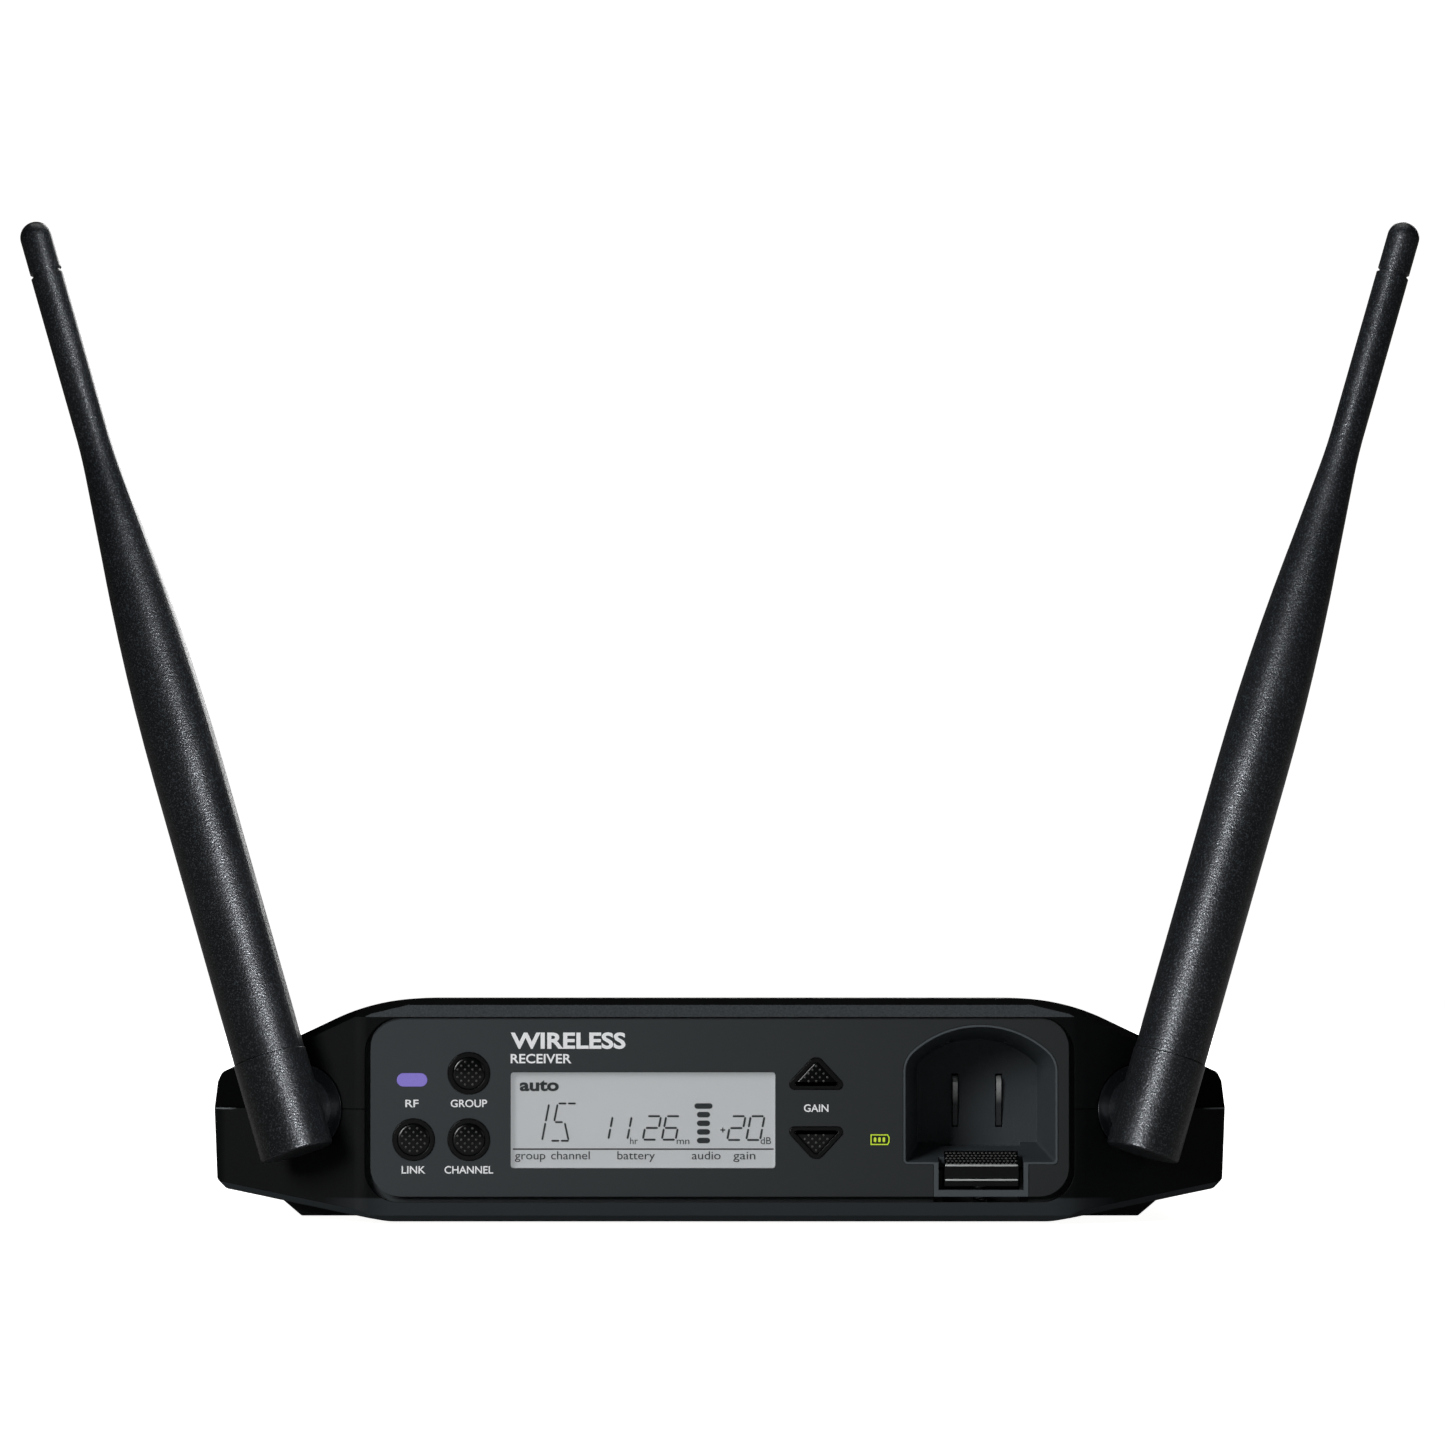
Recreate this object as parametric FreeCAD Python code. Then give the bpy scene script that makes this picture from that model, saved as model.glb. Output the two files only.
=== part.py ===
import FreeCAD, Part
import math
import os

# Tabletop wireless receiver with two swivelling antennas.
# Millimetres.  X is the width, Z is up from the plane of the rubber feet,
# and depth runs along +Y from the front face to the rear wall.

# Case
CASE_HALF_WIDTH = 92.4
CASE_DEPTH = 117.0
CASE_TOP = 41.0
TOP_FALL = 1.6              # the lid drops this much towards the rear
LIP = 0.6                   # front lip above the foot plane
PARTING = 20.9              # joint between the two shells
WALL = 2.0
KNOB_END = 130.0            # rearmost point, the volume knob
KNUCKLE_REACH = 9.11        # foremost point, the antenna knuckles, before the front face
FRONT_Y = -(KNOB_END - KNUCKLE_REACH) / 2
SHOULDER_ANGLE = 25.0       # slope of the upper corners
SWEEP = 24.0                # front corners swept back in plan
SWEEP_START = 65.0
PLAN_HALF = 92.7
SHOULDER_X, SHOULDER_Z = 91.0, 27.3
CHIN_X, CHIN_Z = 90.15, 6.1
CHIN_START = 60.0
LID_CHAMFER = 1.25
CHIN_CHAMFER = 1.1
BROW_LEAN = 1.1 / 2.3       # the strip over the panel leans back this much per mm of height

# Base plate and feet
BASE_BOTTOM = 0.3
BASE_TOP = 1.6
BASE_HALF = 77.5
BASE_FLARE, BASE_RISE = 3.9, 3.3
BASE_FRONT, BASE_REAR = 30.0, 108.0
FLOOR_TOP = 3.4
FOOT_RADIUS = 5.5
FOOT_HEIGHT = 1.0
FOOT_SPOTS = [(-62.0, 40.0), (62.0, 40.0), (-62.0, 102.0), (62.0, 102.0)]

# Fasteners
CASE_SCREW_SPOTS = [(-48.0, 46.0), (48.0, 46.0), (-48.0, 88.0), (56.0, 88.0)]
BOARD_SCREW_SPOTS = [(-24.0, 38.0), (24.0, 38.0), (-66.0, 84.0), (68.0, 86.0)]

# Front panel
PANEL_FRONT = 0.6
PANEL_STEP = 2.5
PANEL_REAR = 3.5
PANEL_HALF = 63.2
PANEL_BOTTOM, PANEL_TOP = 5.1, 37.45
BROW_BASE = PANEL_TOP + 0.15
GROOVE = 1.0

# Front controls
BUTTON_HOLE = 3.86
BUTTON_GAP = 0.11
ROUND_BUTTONS = {"group": (-45.4, 27.4), "link": (-55.4, 15.4), "channel": (-45.4, 15.4)}
GAIN_X = 17.45
GAIN_UP_Z, GAIN_DOWN_Z = 24.4, 17.8
GAIN_WIDTH, GAIN_HEIGHT = 9.7, 5.9
BUTTON_FRONT = 0.35
LCD_X0, LCD_X1 = -37.9, 10.1
LCD_Z0, LCD_Z1 = 10.2, 27.6
RF_LED = (-55.7, 26.2)
RF_LED_SIZE = (5.6, 2.5)
BATTERY_LED = (29.0, 15.4)
BATTERY_LED_SIZE = (3.7, 1.9)
FRONT_BOARD_D = 9.2
BOARD_THICK = 1.2

# Charging bay
BAY_X = 47.2
BAY_HALF = 13.6
BAY_BOTTOM = 11.3
BAY_ARCH = 18.1             # radius of the arch, struck from the height below
BAY_ARCH_Z = 17.7
BAY_ARCH_LEAN = 41.0        # slope of the arch where it meets its corners
BAY_BACK_HALF, BAY_BACK_BOTTOM, BAY_BACK_ARCH = 11.0, 14.4, 15.5
BAY_DEPTH = 18.0
BAY_WALL = 1.4
RIM = 0.35
CONTACT_PITCH = 8.0
CONTACT_SLOT = 0.62         # half width of each slot
CONTACT_HALF = 0.45
LATCH_X0, LATCH_X1 = 40.7, 54.1
NOTCH_X0, NOTCH_X1 = 38.7, 55.9
LINER = 0.9                 # wall of the frame in the notch
GUIDE_X0, GUIDE_X1 = 38.6, 56.2

# Main board
MAIN_BOARD_Z = 12.0
MAIN_BOARD_THICK = 1.6

# Rear panel and its connectors
REAR_PANEL_D0, REAR_PANEL_D1 = 112.9, 114.9
REAR_AXIS_Z = 20.6
XLR_X, JACK_X, VOLUME_X, USB_X, DC_X = -38.0, -8.0, 20.0, 44.0, 64.0
XLR_ROOT = 1.0              # pin radius inside the insulator

# Antennas, measured from the swivel axis along the whip
PIVOT_X = 75.8
STANDOFF = 6.9              # whip axis in front of the swept face
LEAN = 18.0
KNUCKLE_RADIUS = 6.7
KNUCKLE_LOW, KNUCKLE_HIGH = -8.2, 9.9
SLEEVE_RADIUS = 6.53
THIN_RADIUS = 3.02
TAPER_START, TAPER_BEND, TAPER_END = 64.2, 104.7, 129.2
CAP_START, ANTENNA_END = 160.7, 171.2
SWIVEL_RECESS = 8.2
SWIVEL_BORE = 6.36
BORE = 1.6


def vec(x, d, z):
    """A point given by width, depth from the front face, and height."""
    return FreeCAD.Vector(x, FRONT_Y + d, z)


def box(x0, x1, d0, d1, z0, z1):
    return Part.makeBox(x1 - x0, d1 - d0, z1 - z0, vec(x0, d0, z0))


def rod(x, z, radius, d0, d1):
    """A cylinder lying along the depth."""
    return Part.makeCylinder(radius, d1 - d0, vec(x, d0, z), FreeCAD.Vector(0, 1, 0))


def post(x, d, radius, z0, z1):
    """A standing cylinder."""
    return Part.makeCylinder(radius, z1 - z0, vec(x, d, z0))


def fused(shapes):
    result = shapes[0]
    for shape in shapes[1:]:
        result = result.fuse(shape)
    return result.removeSplitter()


def corner_frame(corners, index):
    """The corner point with the unit vectors to its two neighbours."""
    points = [FreeCAD.Vector(a, b, 0) for a, b, _ in corners]
    point = points[index]
    back = (points[index - 1] - point).normalize()
    ahead = (points[(index + 1) % len(points)] - point).normalize()
    return point, back, ahead


def rounded_wire(corners, place):
    """A closed outline of (a, b, corner radius), laid in space by place(a, b)."""
    joins = []
    for index, (_, _, radius) in enumerate(corners):
        point, back, ahead = corner_frame(corners, index)
        if radius <= 0:
            joins.append((point, None, point))
            continue
        half = back.getAngle(ahead) / 2
        reach = radius / math.tan(half)
        middle = (back + ahead).normalize() * (radius / math.sin(half) - radius)
        joins.append((point + back * reach, point + middle, point + ahead * reach))
    edges = []
    for index, (start, middle, end) in enumerate(joins):
        if middle is not None:
            arc = Part.Arc(*[place(p.x, p.y) for p in (start, middle, end)])
            edges.append(arc.toShape())
        following = joins[(index + 1) % len(joins)][0]
        if (following - end).Length > 1e-6:
            line = Part.LineSegment(place(end.x, end.y), place(following.x, following.y))
            edges.append(line.toShape())
    return Part.Wire(edges)


def inset(corners, amount):
    """The same outline moved inwards; a negative amount grows it."""
    moved = []
    for index, (_, _, radius) in enumerate(corners):
        point, back, ahead = corner_frame(corners, index)
        half = back.getAngle(ahead) / 2
        point = point + (back + ahead).normalize() * (amount / math.sin(half))
        moved.append((point.x, point.y, max(radius - amount, 0)))
    return moved


def mirrored(half):
    return half + [(-a, b, radius) for a, b, radius in reversed(half)]


def upright_wire(corners, depth):
    return rounded_wire(corners, lambda x, z: vec(x, depth, z))


def front_prism(corners, d0, d1):
    """An outline seen from the front, extruded along the depth."""
    face = Part.Face(upright_wire(corners, d0))
    return face.extrude(FreeCAD.Vector(0, d1 - d0, 0))


def side_prism(points, x0, x1):
    """A (depth, height) polygon extruded across the width."""
    wire = Part.makePolygon([vec(x0, d, z) for d, z in points + points[:1]])
    return Part.Face(wire).extrude(FreeCAD.Vector(x1 - x0, 0, 0))


def rectangle(x0, x1, z0, z1, radius):
    return [(x0, z0, radius), (x1, z0, radius), (x1, z1, radius), (x0, z1, radius)]


def pill(centre, size):
    x, z = centre
    width, height = size
    radius = height / 2 - 0.001
    return rectangle(x - width / 2, x + width / 2, z - height / 2, z + height / 2, radius)


# ---------------------------------------------------------------- case

def case_outline(depth):
    """Front view of the case, a flattened hexagon, at one depth."""
    top = CASE_TOP - TOP_FALL * depth / CASE_DEPTH
    run = (top - SHOULDER_Z) / math.tan(math.radians(SHOULDER_ANGLE))
    return mirrored([
        (SHOULDER_X - run, top, 39),
        (SHOULDER_X, SHOULDER_Z, 1.5),
        (CASE_HALF_WIDTH - 0.6, 25.6, 1.0),
        (CASE_HALF_WIDTH, PARTING, 0),
        (CASE_HALF_WIDTH - 0.6, 7.9, 0.8),
        (CHIN_X, CHIN_Z, 1.2),
        (CHIN_START, LIP, 12),
    ])


def rear_outline(amount):
    """The rear view of the case with plain corners, moved inwards."""
    top = CASE_TOP - TOP_FALL
    run = (top - SHOULDER_Z) / math.tan(math.radians(SHOULDER_ANGLE))
    return inset(mirrored([
        (SHOULDER_X - run, top, 39),
        (CASE_HALF_WIDTH, 26.94, 7),
        (CASE_HALF_WIDTH - 0.5, 6.74, 7),
        (CHIN_START, LIP, 12),
    ]), amount)


def case_plan():
    swept = (PLAN_HALF - SWEEP_START) * math.tan(math.radians(SWEEP))
    return mirrored([
        (SWEEP_START, 0, 6),
        (PLAN_HALF, swept, 4),
        (PLAN_HALF, CASE_DEPTH - 4, 1),
        (PLAN_HALF - 3, CASE_DEPTH, 0.8),
    ])


def case_envelope(amount):
    """The case as a solid, moved inwards by the given amount."""
    front, rear = (0, CASE_DEPTH) if amount == 0 else (-5, CASE_DEPTH + 5)
    wires = [upright_wire(inset(case_outline(d), amount), d) for d in (front, rear)]
    loft = Part.makeLoft(wires, True, True)
    plan = rounded_wire(inset(case_plan(), amount), lambda x, d: vec(x, d, -10))
    return loft.common(Part.Face(plan).extrude(FreeCAD.Vector(0, 0, 70)))


def clipped(solid, point, normal):
    """The solid without whatever lies beyond a plane."""
    size = 120
    slab = Part.makeBox(2 * size, 2 * size, size, FreeCAD.Vector(-size, -size, 0))
    turn = FreeCAD.Rotation(FreeCAD.Vector(0, 0, 1), normal)
    slab.Placement = FreeCAD.Placement(point, turn)
    return solid.cut(slab)


def chamfered(solid, edge_point, normal_a, normal_b, setback):
    """Flatten the edge where two faces with these normals meet."""
    middle = (normal_a + normal_b).normalize()
    sink = setback * math.sin(normal_a.getAngle(normal_b) / 2)
    return clipped(solid, edge_point - middle * sink, middle)


def facing(side, sweep):
    """Outward normal of a front face swept back by an angle."""
    angle = math.radians(sweep)
    return FreeCAD.Vector(side * math.sin(angle), -math.cos(angle), 0)


def rising(side, tilt):
    """Outward normal of the lid where it slopes by an angle."""
    angle = math.radians(tilt)
    return FreeCAD.Vector(side * math.sin(angle), 0, math.cos(angle))


def lid_edge(tilt):
    """Width and height on the front edge of the lid where its slope is tilt."""
    radius, angle = 39.0, math.radians(tilt)
    run = (CASE_TOP - SHOULDER_Z) / math.tan(math.radians(SHOULDER_ANGLE))
    centre_x = SHOULDER_X - run - radius * math.tan(math.radians(SHOULDER_ANGLE / 2))
    return centre_x + radius * math.sin(angle), CASE_TOP - radius * (1 - math.cos(angle))


def lid_setback(z):
    """Chamfer of the lid edge at this height, deeper where the brow leans back."""
    return LID_CHAMFER + max(0, z - LID_CHAMFER - BROW_BASE) * BROW_LEAN


def case_solid():
    """The outer case with its front edges chamfered and its brow leaned back."""
    solid = case_envelope(0)
    front, up = facing(1, 0), rising(1, 0)
    solid = chamfered(solid, vec(0, 0, CASE_TOP), front, up, lid_setback(CASE_TOP))
    solid = chamfered(solid, vec(0, 0, LIP), front, up * -1, CHIN_CHAMFER)
    brow = FreeCAD.Vector(0, -1, BROW_LEAN).normalize()
    solid = clipped(solid, vec(0, 0, BROW_BASE), brow)
    chin_tilt = math.degrees(math.atan2(CHIN_Z - LIP, CHIN_X - CHIN_START))
    for side in (-1, 1):
        for tilt, sweep in ((7, 0), (14, 0), (20, SWEEP / 2)):
            x, z = lid_edge(tilt)
            swept = max(0, x - SWEEP_START) * math.tan(math.radians(sweep))
            point = vec(side * x, swept, z)
            solid = chamfered(solid, point, facing(side, sweep), rising(side, tilt),
                              lid_setback(z))
        face = facing(side, SWEEP)
        depth = (SHOULDER_X - SWEEP_START) * math.tan(math.radians(SWEEP))
        point = vec(side * SHOULDER_X, depth, SHOULDER_Z)
        solid = chamfered(solid, point, face, rising(side, SHOULDER_ANGLE), LID_CHAMFER)
        depth = (CHIN_X - SWEEP_START) * math.tan(math.radians(SWEEP))
        point = vec(side * CHIN_X, depth, CHIN_Z)
        under = rising(side, chin_tilt)
        under.z = -under.z
        solid = chamfered(solid, point, face, under, CHIN_CHAMFER)
    return solid


def swivel_placement(side, lean):
    """Local frame at the swivel: x' across, y' into the face, z' along the whip."""
    sweep = math.radians(SWEEP)
    inward = FreeCAD.Vector(-side * math.sin(sweep), math.cos(sweep), 0)
    outboard = FreeCAD.Vector(side * math.cos(sweep), math.sin(sweep), 0)
    angle = math.radians(lean)
    along = FreeCAD.Vector(0, 0, 1) * math.cos(angle) + outboard * math.sin(angle)
    across = inward.cross(along)
    depth = (PIVOT_X - SWEEP_START) * math.tan(sweep)
    rotation = FreeCAD.Rotation(across, inward, along, "ZXY")
    return FreeCAD.Placement(vec(side * PIVOT_X, depth, PARTING), rotation)


def placed(shape, side, lean=LEAN):
    shape.Placement = swivel_placement(side, lean).multiply(shape.Placement)
    return shape


def hub(radius, y0, y1):
    """A cylinder about the swivel axis, in the local swivel frame."""
    direction = FreeCAD.Vector(0, 1, 0)
    return Part.makeCylinder(radius, y1 - y0, FreeCAD.Vector(0, y0, 0), direction)


def with_swivel_seats(shell, half_space):
    """Add the split bearing ring behind each swept corner and bore it."""
    for side in (-1, 1):
        boss = placed(hub(9.8, 0.8, 4.7), side, 0)
        shell = shell.fuse(boss.common(half_space))
        shell = shell.cut(placed(hub(SWIVEL_RECESS, -3, 2.4), side, 0))
        shell = shell.cut(placed(hub(SWIVEL_BORE, -3, 8), side, 0))
    return shell


def corner_pocket(side):
    """The upper shell steps back outboard of the knuckle."""
    step, reach = 1.4, 40
    across = Part.makeBox(reach, 5 + step, reach, FreeCAD.Vector(0, -5, 0))
    if side < 0:
        across.translate(FreeCAD.Vector(-reach, 0, 0))
    return placed(across, side, 0)


def panel_opening():
    low, high = PANEL_BOTTOM - GROOVE, PANEL_TOP + 0.05
    half = PANEL_HALF + GROOVE
    corners = [(-half, low, 6), (half, low, 6), (half, high, 6.5), (-half, high, 6.5)]
    return front_prism(corners, -3, 4)


def rear_opening():
    return front_prism(rear_outline(5.5), 112, 120)


def case_openings(shell):
    return shell.cut(panel_opening()).cut(rear_opening())


def top_shell():
    upper = box(-100, 100, -5, 130, PARTING, 60)
    shell = case_solid().common(upper).cut(case_envelope(WALL))
    for x, d in CASE_SCREW_SPOTS:
        shell = shell.fuse(post(x, d, 3.8, PARTING, 38.5))
        shell = shell.cut(post(x, d, 1.5, PARTING - 1, 31))
    shell = case_openings(shell)
    inside_corner = with_swivel_seats(shell, upper)
    for side in (-1, 1):
        pocket = corner_pocket(side).common(upper)
        inside_corner = inside_corner.cut(pocket)
    return inside_corner.removeSplitter()


def bottom_shell():
    lower = box(-100, 100, -5, 130, -5, PARTING)
    cavity = case_envelope(WALL).cut(box(-74, 74, 28, 110, -1, FLOOR_TOP))
    shell = case_solid().common(lower).cut(cavity)
    shell = shell.cut(box(-72, 72, BASE_FRONT, BASE_REAR, -1, BASE_TOP))
    for x, d in CASE_SCREW_SPOTS:
        shell = shell.fuse(post(x, d, 4.4, BASE_TOP, PARTING))
        shell = shell.cut(post(x, d, 3.0, 0, 9.8)).cut(post(x, d, 1.7, 0, 25))
    for x, d in BOARD_SCREW_SPOTS:
        shell = shell.fuse(post(x, d, 3.0, FLOOR_TOP - 0.2, MAIN_BOARD_Z))
        shell = shell.cut(post(x, d, 1.25, 5, 13))
    shell = case_openings(shell)
    return with_swivel_seats(shell, lower).removeSplitter()


def base_plate():
    """The plate under the case, filling the wedge below the sloping chin."""
    outline = mirrored([
        (BASE_HALF, BASE_BOTTOM, 0.5),
        (BASE_HALF + BASE_FLARE, BASE_BOTTOM + BASE_RISE, 0),
        (BASE_HALF + BASE_FLARE, BASE_BOTTOM + 5, 0),
    ])
    plate = front_prism(outline, BASE_FRONT, BASE_REAR)
    body = case_envelope(0).cut(box(-72, 72, BASE_FRONT, BASE_REAR, -1, BASE_TOP))
    plate = plate.cut(body)
    for x, d in CASE_SCREW_SPOTS:
        plate = plate.cut(post(x, d, 3.0, -1, 3))
    for x, d in FOOT_SPOTS:
        plate = plate.cut(post(x, d, FOOT_RADIUS + 0.1, -1, FOOT_HEIGHT))
    return plate.cut(box(-26, 26, 60, 84, -1, 0.5))


def label_plate():
    return front_prism(rectangle(-25.8, 25.8, 0.2, 0.5, 0), 60.2, 83.8)


def rubber_feet():
    return Part.makeCompound([post(x, d, FOOT_RADIUS, 0, FOOT_HEIGHT) for x, d in FOOT_SPOTS])


def cross_recess(x, d, z0, z1):
    """The cross drive cut into a screw head between two heights."""
    arm, half = 1.1, 0.28
    along = box(x - arm, x + arm, d - half, d + half, z0, z1)
    return along.fuse(box(x - half, x + half, d - arm, d + arm, z0, z1))


def case_screws():
    screws = []
    for x, d in CASE_SCREW_SPOTS:
        screw = post(x, d, 2.75, 8.0, 9.8).fuse(post(x, d, 1.45, 9.8, 28))
        screws.append(screw.cut(cross_recess(x, d, 7.9, 8.8)))
    return Part.makeCompound(screws)


def board_screws():
    top = MAIN_BOARD_Z + MAIN_BOARD_THICK
    screws = []
    for x, d in BOARD_SCREW_SPOTS:
        screw = post(x, d, 2.3, top, top + 1.5).fuse(post(x, d, 1.2, 6, top))
        screws.append(screw.cut(cross_recess(x, d, top + 0.8, top + 2)))
    return Part.makeCompound(screws)


# ---------------------------------------------------------- front panel

def bay_corners(half, bottom, arch, corner):
    """Charging bay outline: upright sides under one broad arch with eased corners."""
    lean = math.radians(BAY_ARCH_LEAN)
    peak = BAY_ARCH_Z + arch / math.cos(lean)
    shoulder = peak - half * math.tan(lean)
    return [
        (BAY_X - half, bottom, 0.5),
        (BAY_X + half, bottom, 0.5),
        (BAY_X + half, shoulder, corner),
        (BAY_X, peak, arch),
        (BAY_X - half, shoulder, corner),
    ]


def bay_front():
    return bay_corners(BAY_HALF, BAY_BOTTOM, BAY_ARCH, 4.8)


def bay_back():
    return bay_corners(BAY_BACK_HALF, BAY_BACK_BOTTOM, BAY_BACK_ARCH, 2.2)


def triangle(base_z, direction):
    """Gain button outline: base at base_z, point up (1) or down (-1)."""
    reach = GAIN_WIDTH / 2 + 1.3
    peak = base_z + (GAIN_HEIGHT + 0.75) * direction
    return [
        (GAIN_X - reach, base_z, 1.0),
        (GAIN_X + reach, base_z, 1.0),
        (GAIN_X, peak, 1.6),
    ]


def gain_outlines():
    return {"gain_up": triangle(GAIN_UP_Z, 1), "gain_down": triangle(GAIN_DOWN_Z, -1)}


def front_board_posts():
    return [(-60.5, 33.5), (-60.5, 8.5), (27.5, 33.0), (27.5, 8.5)]


def front_panel():
    front = rectangle(-PANEL_HALF, PANEL_HALF, PANEL_BOTTOM, PANEL_TOP, 5.4)
    back = rectangle(-64.9, 64.9, 3.3, 38.6, 5.4)
    panel = front_prism(front, PANEL_FRONT, PANEL_STEP)
    back = front_prism(back, PANEL_STEP, PANEL_REAR).common(case_envelope(WALL + 0.15))
    panel = panel.fuse(back)
    for x, z in front_board_posts():
        panel = panel.fuse(rod(x, z, 2.0, PANEL_REAR, FRONT_BOARD_D))
        panel = panel.cut(rod(x, z, 0.85, 5, 11))
    for x, z in ROUND_BUTTONS.values():
        panel = panel.cut(rod(x, z, BUTTON_HOLE, 0, 5))
    for outline in gain_outlines().values():
        panel = panel.cut(front_prism(outline, 0, 5))
    panel = panel.cut(front_prism(rectangle(LCD_X0, LCD_X1, LCD_Z0, LCD_Z1, 0.6), 0, 2.05))
    view = rectangle(LCD_X0 + 1, LCD_X1 - 1, LCD_Z0 + 1, LCD_Z1 - 1, 0.6)
    panel = panel.cut(front_prism(view, 0, 5))
    panel = panel.cut(front_prism(pill(RF_LED, RF_LED_SIZE), 0, 5))
    panel = panel.cut(front_prism(pill(BATTERY_LED, BATTERY_LED_SIZE), 0, 5))
    panel = panel.cut(front_prism(inset(bay_front(), -RIM - 0.05), 0, 5))
    return panel.cut(box(NOTCH_X0, NOTCH_X1, 0, 5, 2, 13)).removeSplitter()


def bay_cup():
    inner = Part.makeLoft([upright_wire(bay_front(), RIM), upright_wire(bay_back(), BAY_DEPTH)],
                          True, True)
    lip = front_prism(inset(bay_front(), -RIM), 0.45, PANEL_REAR)
    rear_depth = BAY_DEPTH + BAY_WALL
    body = Part.makeLoft([upright_wire(inset(bay_front(), -BAY_WALL), PANEL_REAR),
                          upright_wire(inset(bay_back(), -BAY_WALL), rear_depth)], True, True)
    flange = front_prism(inset(bay_front(), -2.0), PANEL_REAR, 4.7)
    cup = lip.fuse(body).fuse(flange).cut(inner)
    inner_x0, inner_x1 = NOTCH_X0 + LINER, NOTCH_X1 - LINER
    cup = cup.cut(box(inner_x0, inner_x1, 0, 5.0, 8, 14.5))
    cup = cup.cut(box(inner_x0, inner_x1, 5.0, BAY_DEPTH, 13.7, 15))
    cup = cup.cut(box(GUIDE_X0 - 0.3, GUIDE_X1 + 0.3, 3.4, 8.2, 5, 10.0))
    liner = box(NOTCH_X0 + 0.05, NOTCH_X1 - 0.05, 0.45, 3.2, PANEL_BOTTOM, BAY_BOTTOM)
    liner = liner.cut(box(inner_x0, inner_x1, 0, 4, PANEL_BOTTOM + 1.2, 12))
    liner = liner.cut(box(inner_x0, inner_x1, 2.5, 4, PANEL_BOTTOM - 1, 12))
    cup = cup.fuse(liner)
    for side in (-1, 1):
        x = BAY_X + side * CONTACT_PITCH / 2
        cup = cup.cut(box(x - CONTACT_SLOT, x + CONTACT_SLOT, 17, 20, 17.1, 26.9))
        notch = BAY_X + side * 5.8
        cup = cup.cut(box(notch - 0.8, notch + 0.8, 13.5, 16, 31, 38))
    return cup.removeSplitter()


def contact_block():
    block = box(BAY_X - 7.8, BAY_X + 7.8, 19.4, 27, 15.5, 28.5)
    for side in (-1, 1):
        x = BAY_X + side * CONTACT_PITCH / 2
        block = block.cut(box(x - CONTACT_SLOT, x + CONTACT_SLOT, 19, 25.5, 16.8, 27.4))
    return block


def charge_contact(side):
    """A leaf on edge that stands out of its slot, bent over near its upper end."""
    x = BAY_X + side * CONTACT_PITCH / 2 - CONTACT_HALF
    corners = [(19.9, 26.7, 0), (16.9, 26.3, 1.3), (17.75, 17.4, 0),
               (18.4, 17.4, 0), (17.5, 25.7, 0.8), (19.9, 26.05, 0)]
    wire = rounded_wire(corners, lambda d, z: vec(x, d, z))
    leaf = Part.Face(wire).extrude(FreeCAD.Vector(2 * CONTACT_HALF, 0, 0))
    tail = box(x, x + 2 * CONTACT_HALF, 17.6, 24.3, 20.6, 23.6)
    return leaf.fuse(tail).removeSplitter()


def latch():
    """Release catch: a ramp in the bay mouth above a plate behind the panel."""
    ramp = side_prism([(1.0, 7.9), (1.0, 10.7), (4.4, 13.2), (4.4, 7.9)], LATCH_X0, LATCH_X1)
    plate = box(LATCH_X0, LATCH_X1, 2.65, 4.4, 6.9, 10.7)
    foot = box(LATCH_X0, LATCH_X1, 4.2, 6.6, 6.9, 9.7)
    body = fused([ramp, plate, foot])
    return body.cut(post(BAY_X, 4.7, 1.55, 5, 9.2))


def latch_guide():
    """A bracket behind the panel with two rails and the spring seat."""
    rail = 1.8
    rails = [box(GUIDE_X0, GUIDE_X0 + rail, 3.6, 6.7, 3.1, 9.9),
             box(GUIDE_X1 - rail, GUIDE_X1, 3.6, 6.7, 3.1, 9.9)]
    back = box(GUIDE_X0, GUIDE_X1, 6.7, 7.9, 3.1, 9.9)
    seat = box(GUIDE_X0, GUIDE_X1, 3.6, 6.7, 3.1, 3.9)
    return fused([back, seat] + rails)


def latch_spring():
    wire_radius, coil_radius, low, high = 0.25, 1.15, 3.9, 9.2
    height = high - low - 2 * wire_radius
    helix = Part.makeHelix(height / 5, height, coil_radius)
    start = FreeCAD.Vector(coil_radius, 0, 0)
    circle = Part.Wire(Part.makeCircle(wire_radius, start, FreeCAD.Vector(0, 1, 0)))
    coil = Part.Wire(helix).makePipeShell([circle], True, True)
    coil.translate(vec(BAY_X, 4.7, low + wire_radius))
    return coil


def round_button(name):
    x, z = ROUND_BUTTONS[name]
    radius = BUTTON_HOLE - BUTTON_GAP
    cap = rod(x, z, radius, BUTTON_FRONT, 3.6)
    dish = rod(x, z, 3.0, 0, BUTTON_FRONT + 0.35)
    flange = rod(x, z, radius + 0.9, 3.6, 4.4)
    return fused([cap.cut(dish), flange, rod(x, z, 1.2, 4.4, 7.4)])


def gain_centres():
    return {"gain_up": (GAIN_X, GAIN_UP_Z + 2.4), "gain_down": (GAIN_X, GAIN_DOWN_Z - 2.4)}


def gain_button(name):
    outline = gain_outlines()[name]
    x, z = gain_centres()[name]
    cap = front_prism(inset(outline, BUTTON_GAP), BUTTON_FRONT, 3.6)
    dish = front_prism(inset(outline, 0.85), 0, BUTTON_FRONT + 0.35)
    flange = front_prism(inset(outline, -0.5), 3.6, 4.4)
    return fused([cap.cut(dish), flange, rod(x, z, 1.2, 4.4, 7.4)])


def button_centres():
    return list(ROUND_BUTTONS.values()) + list(gain_centres().values())


def tact_switches():
    switches = []
    for x, z in button_centres():
        body = box(x - 2.6, x + 2.6, 6.0, FRONT_BOARD_D, z - 2.6, z + 2.6)
        switches.append(body.cut(rod(x, z, 1.3, 5, 8.2)))
    return Part.makeCompound(switches)


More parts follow.
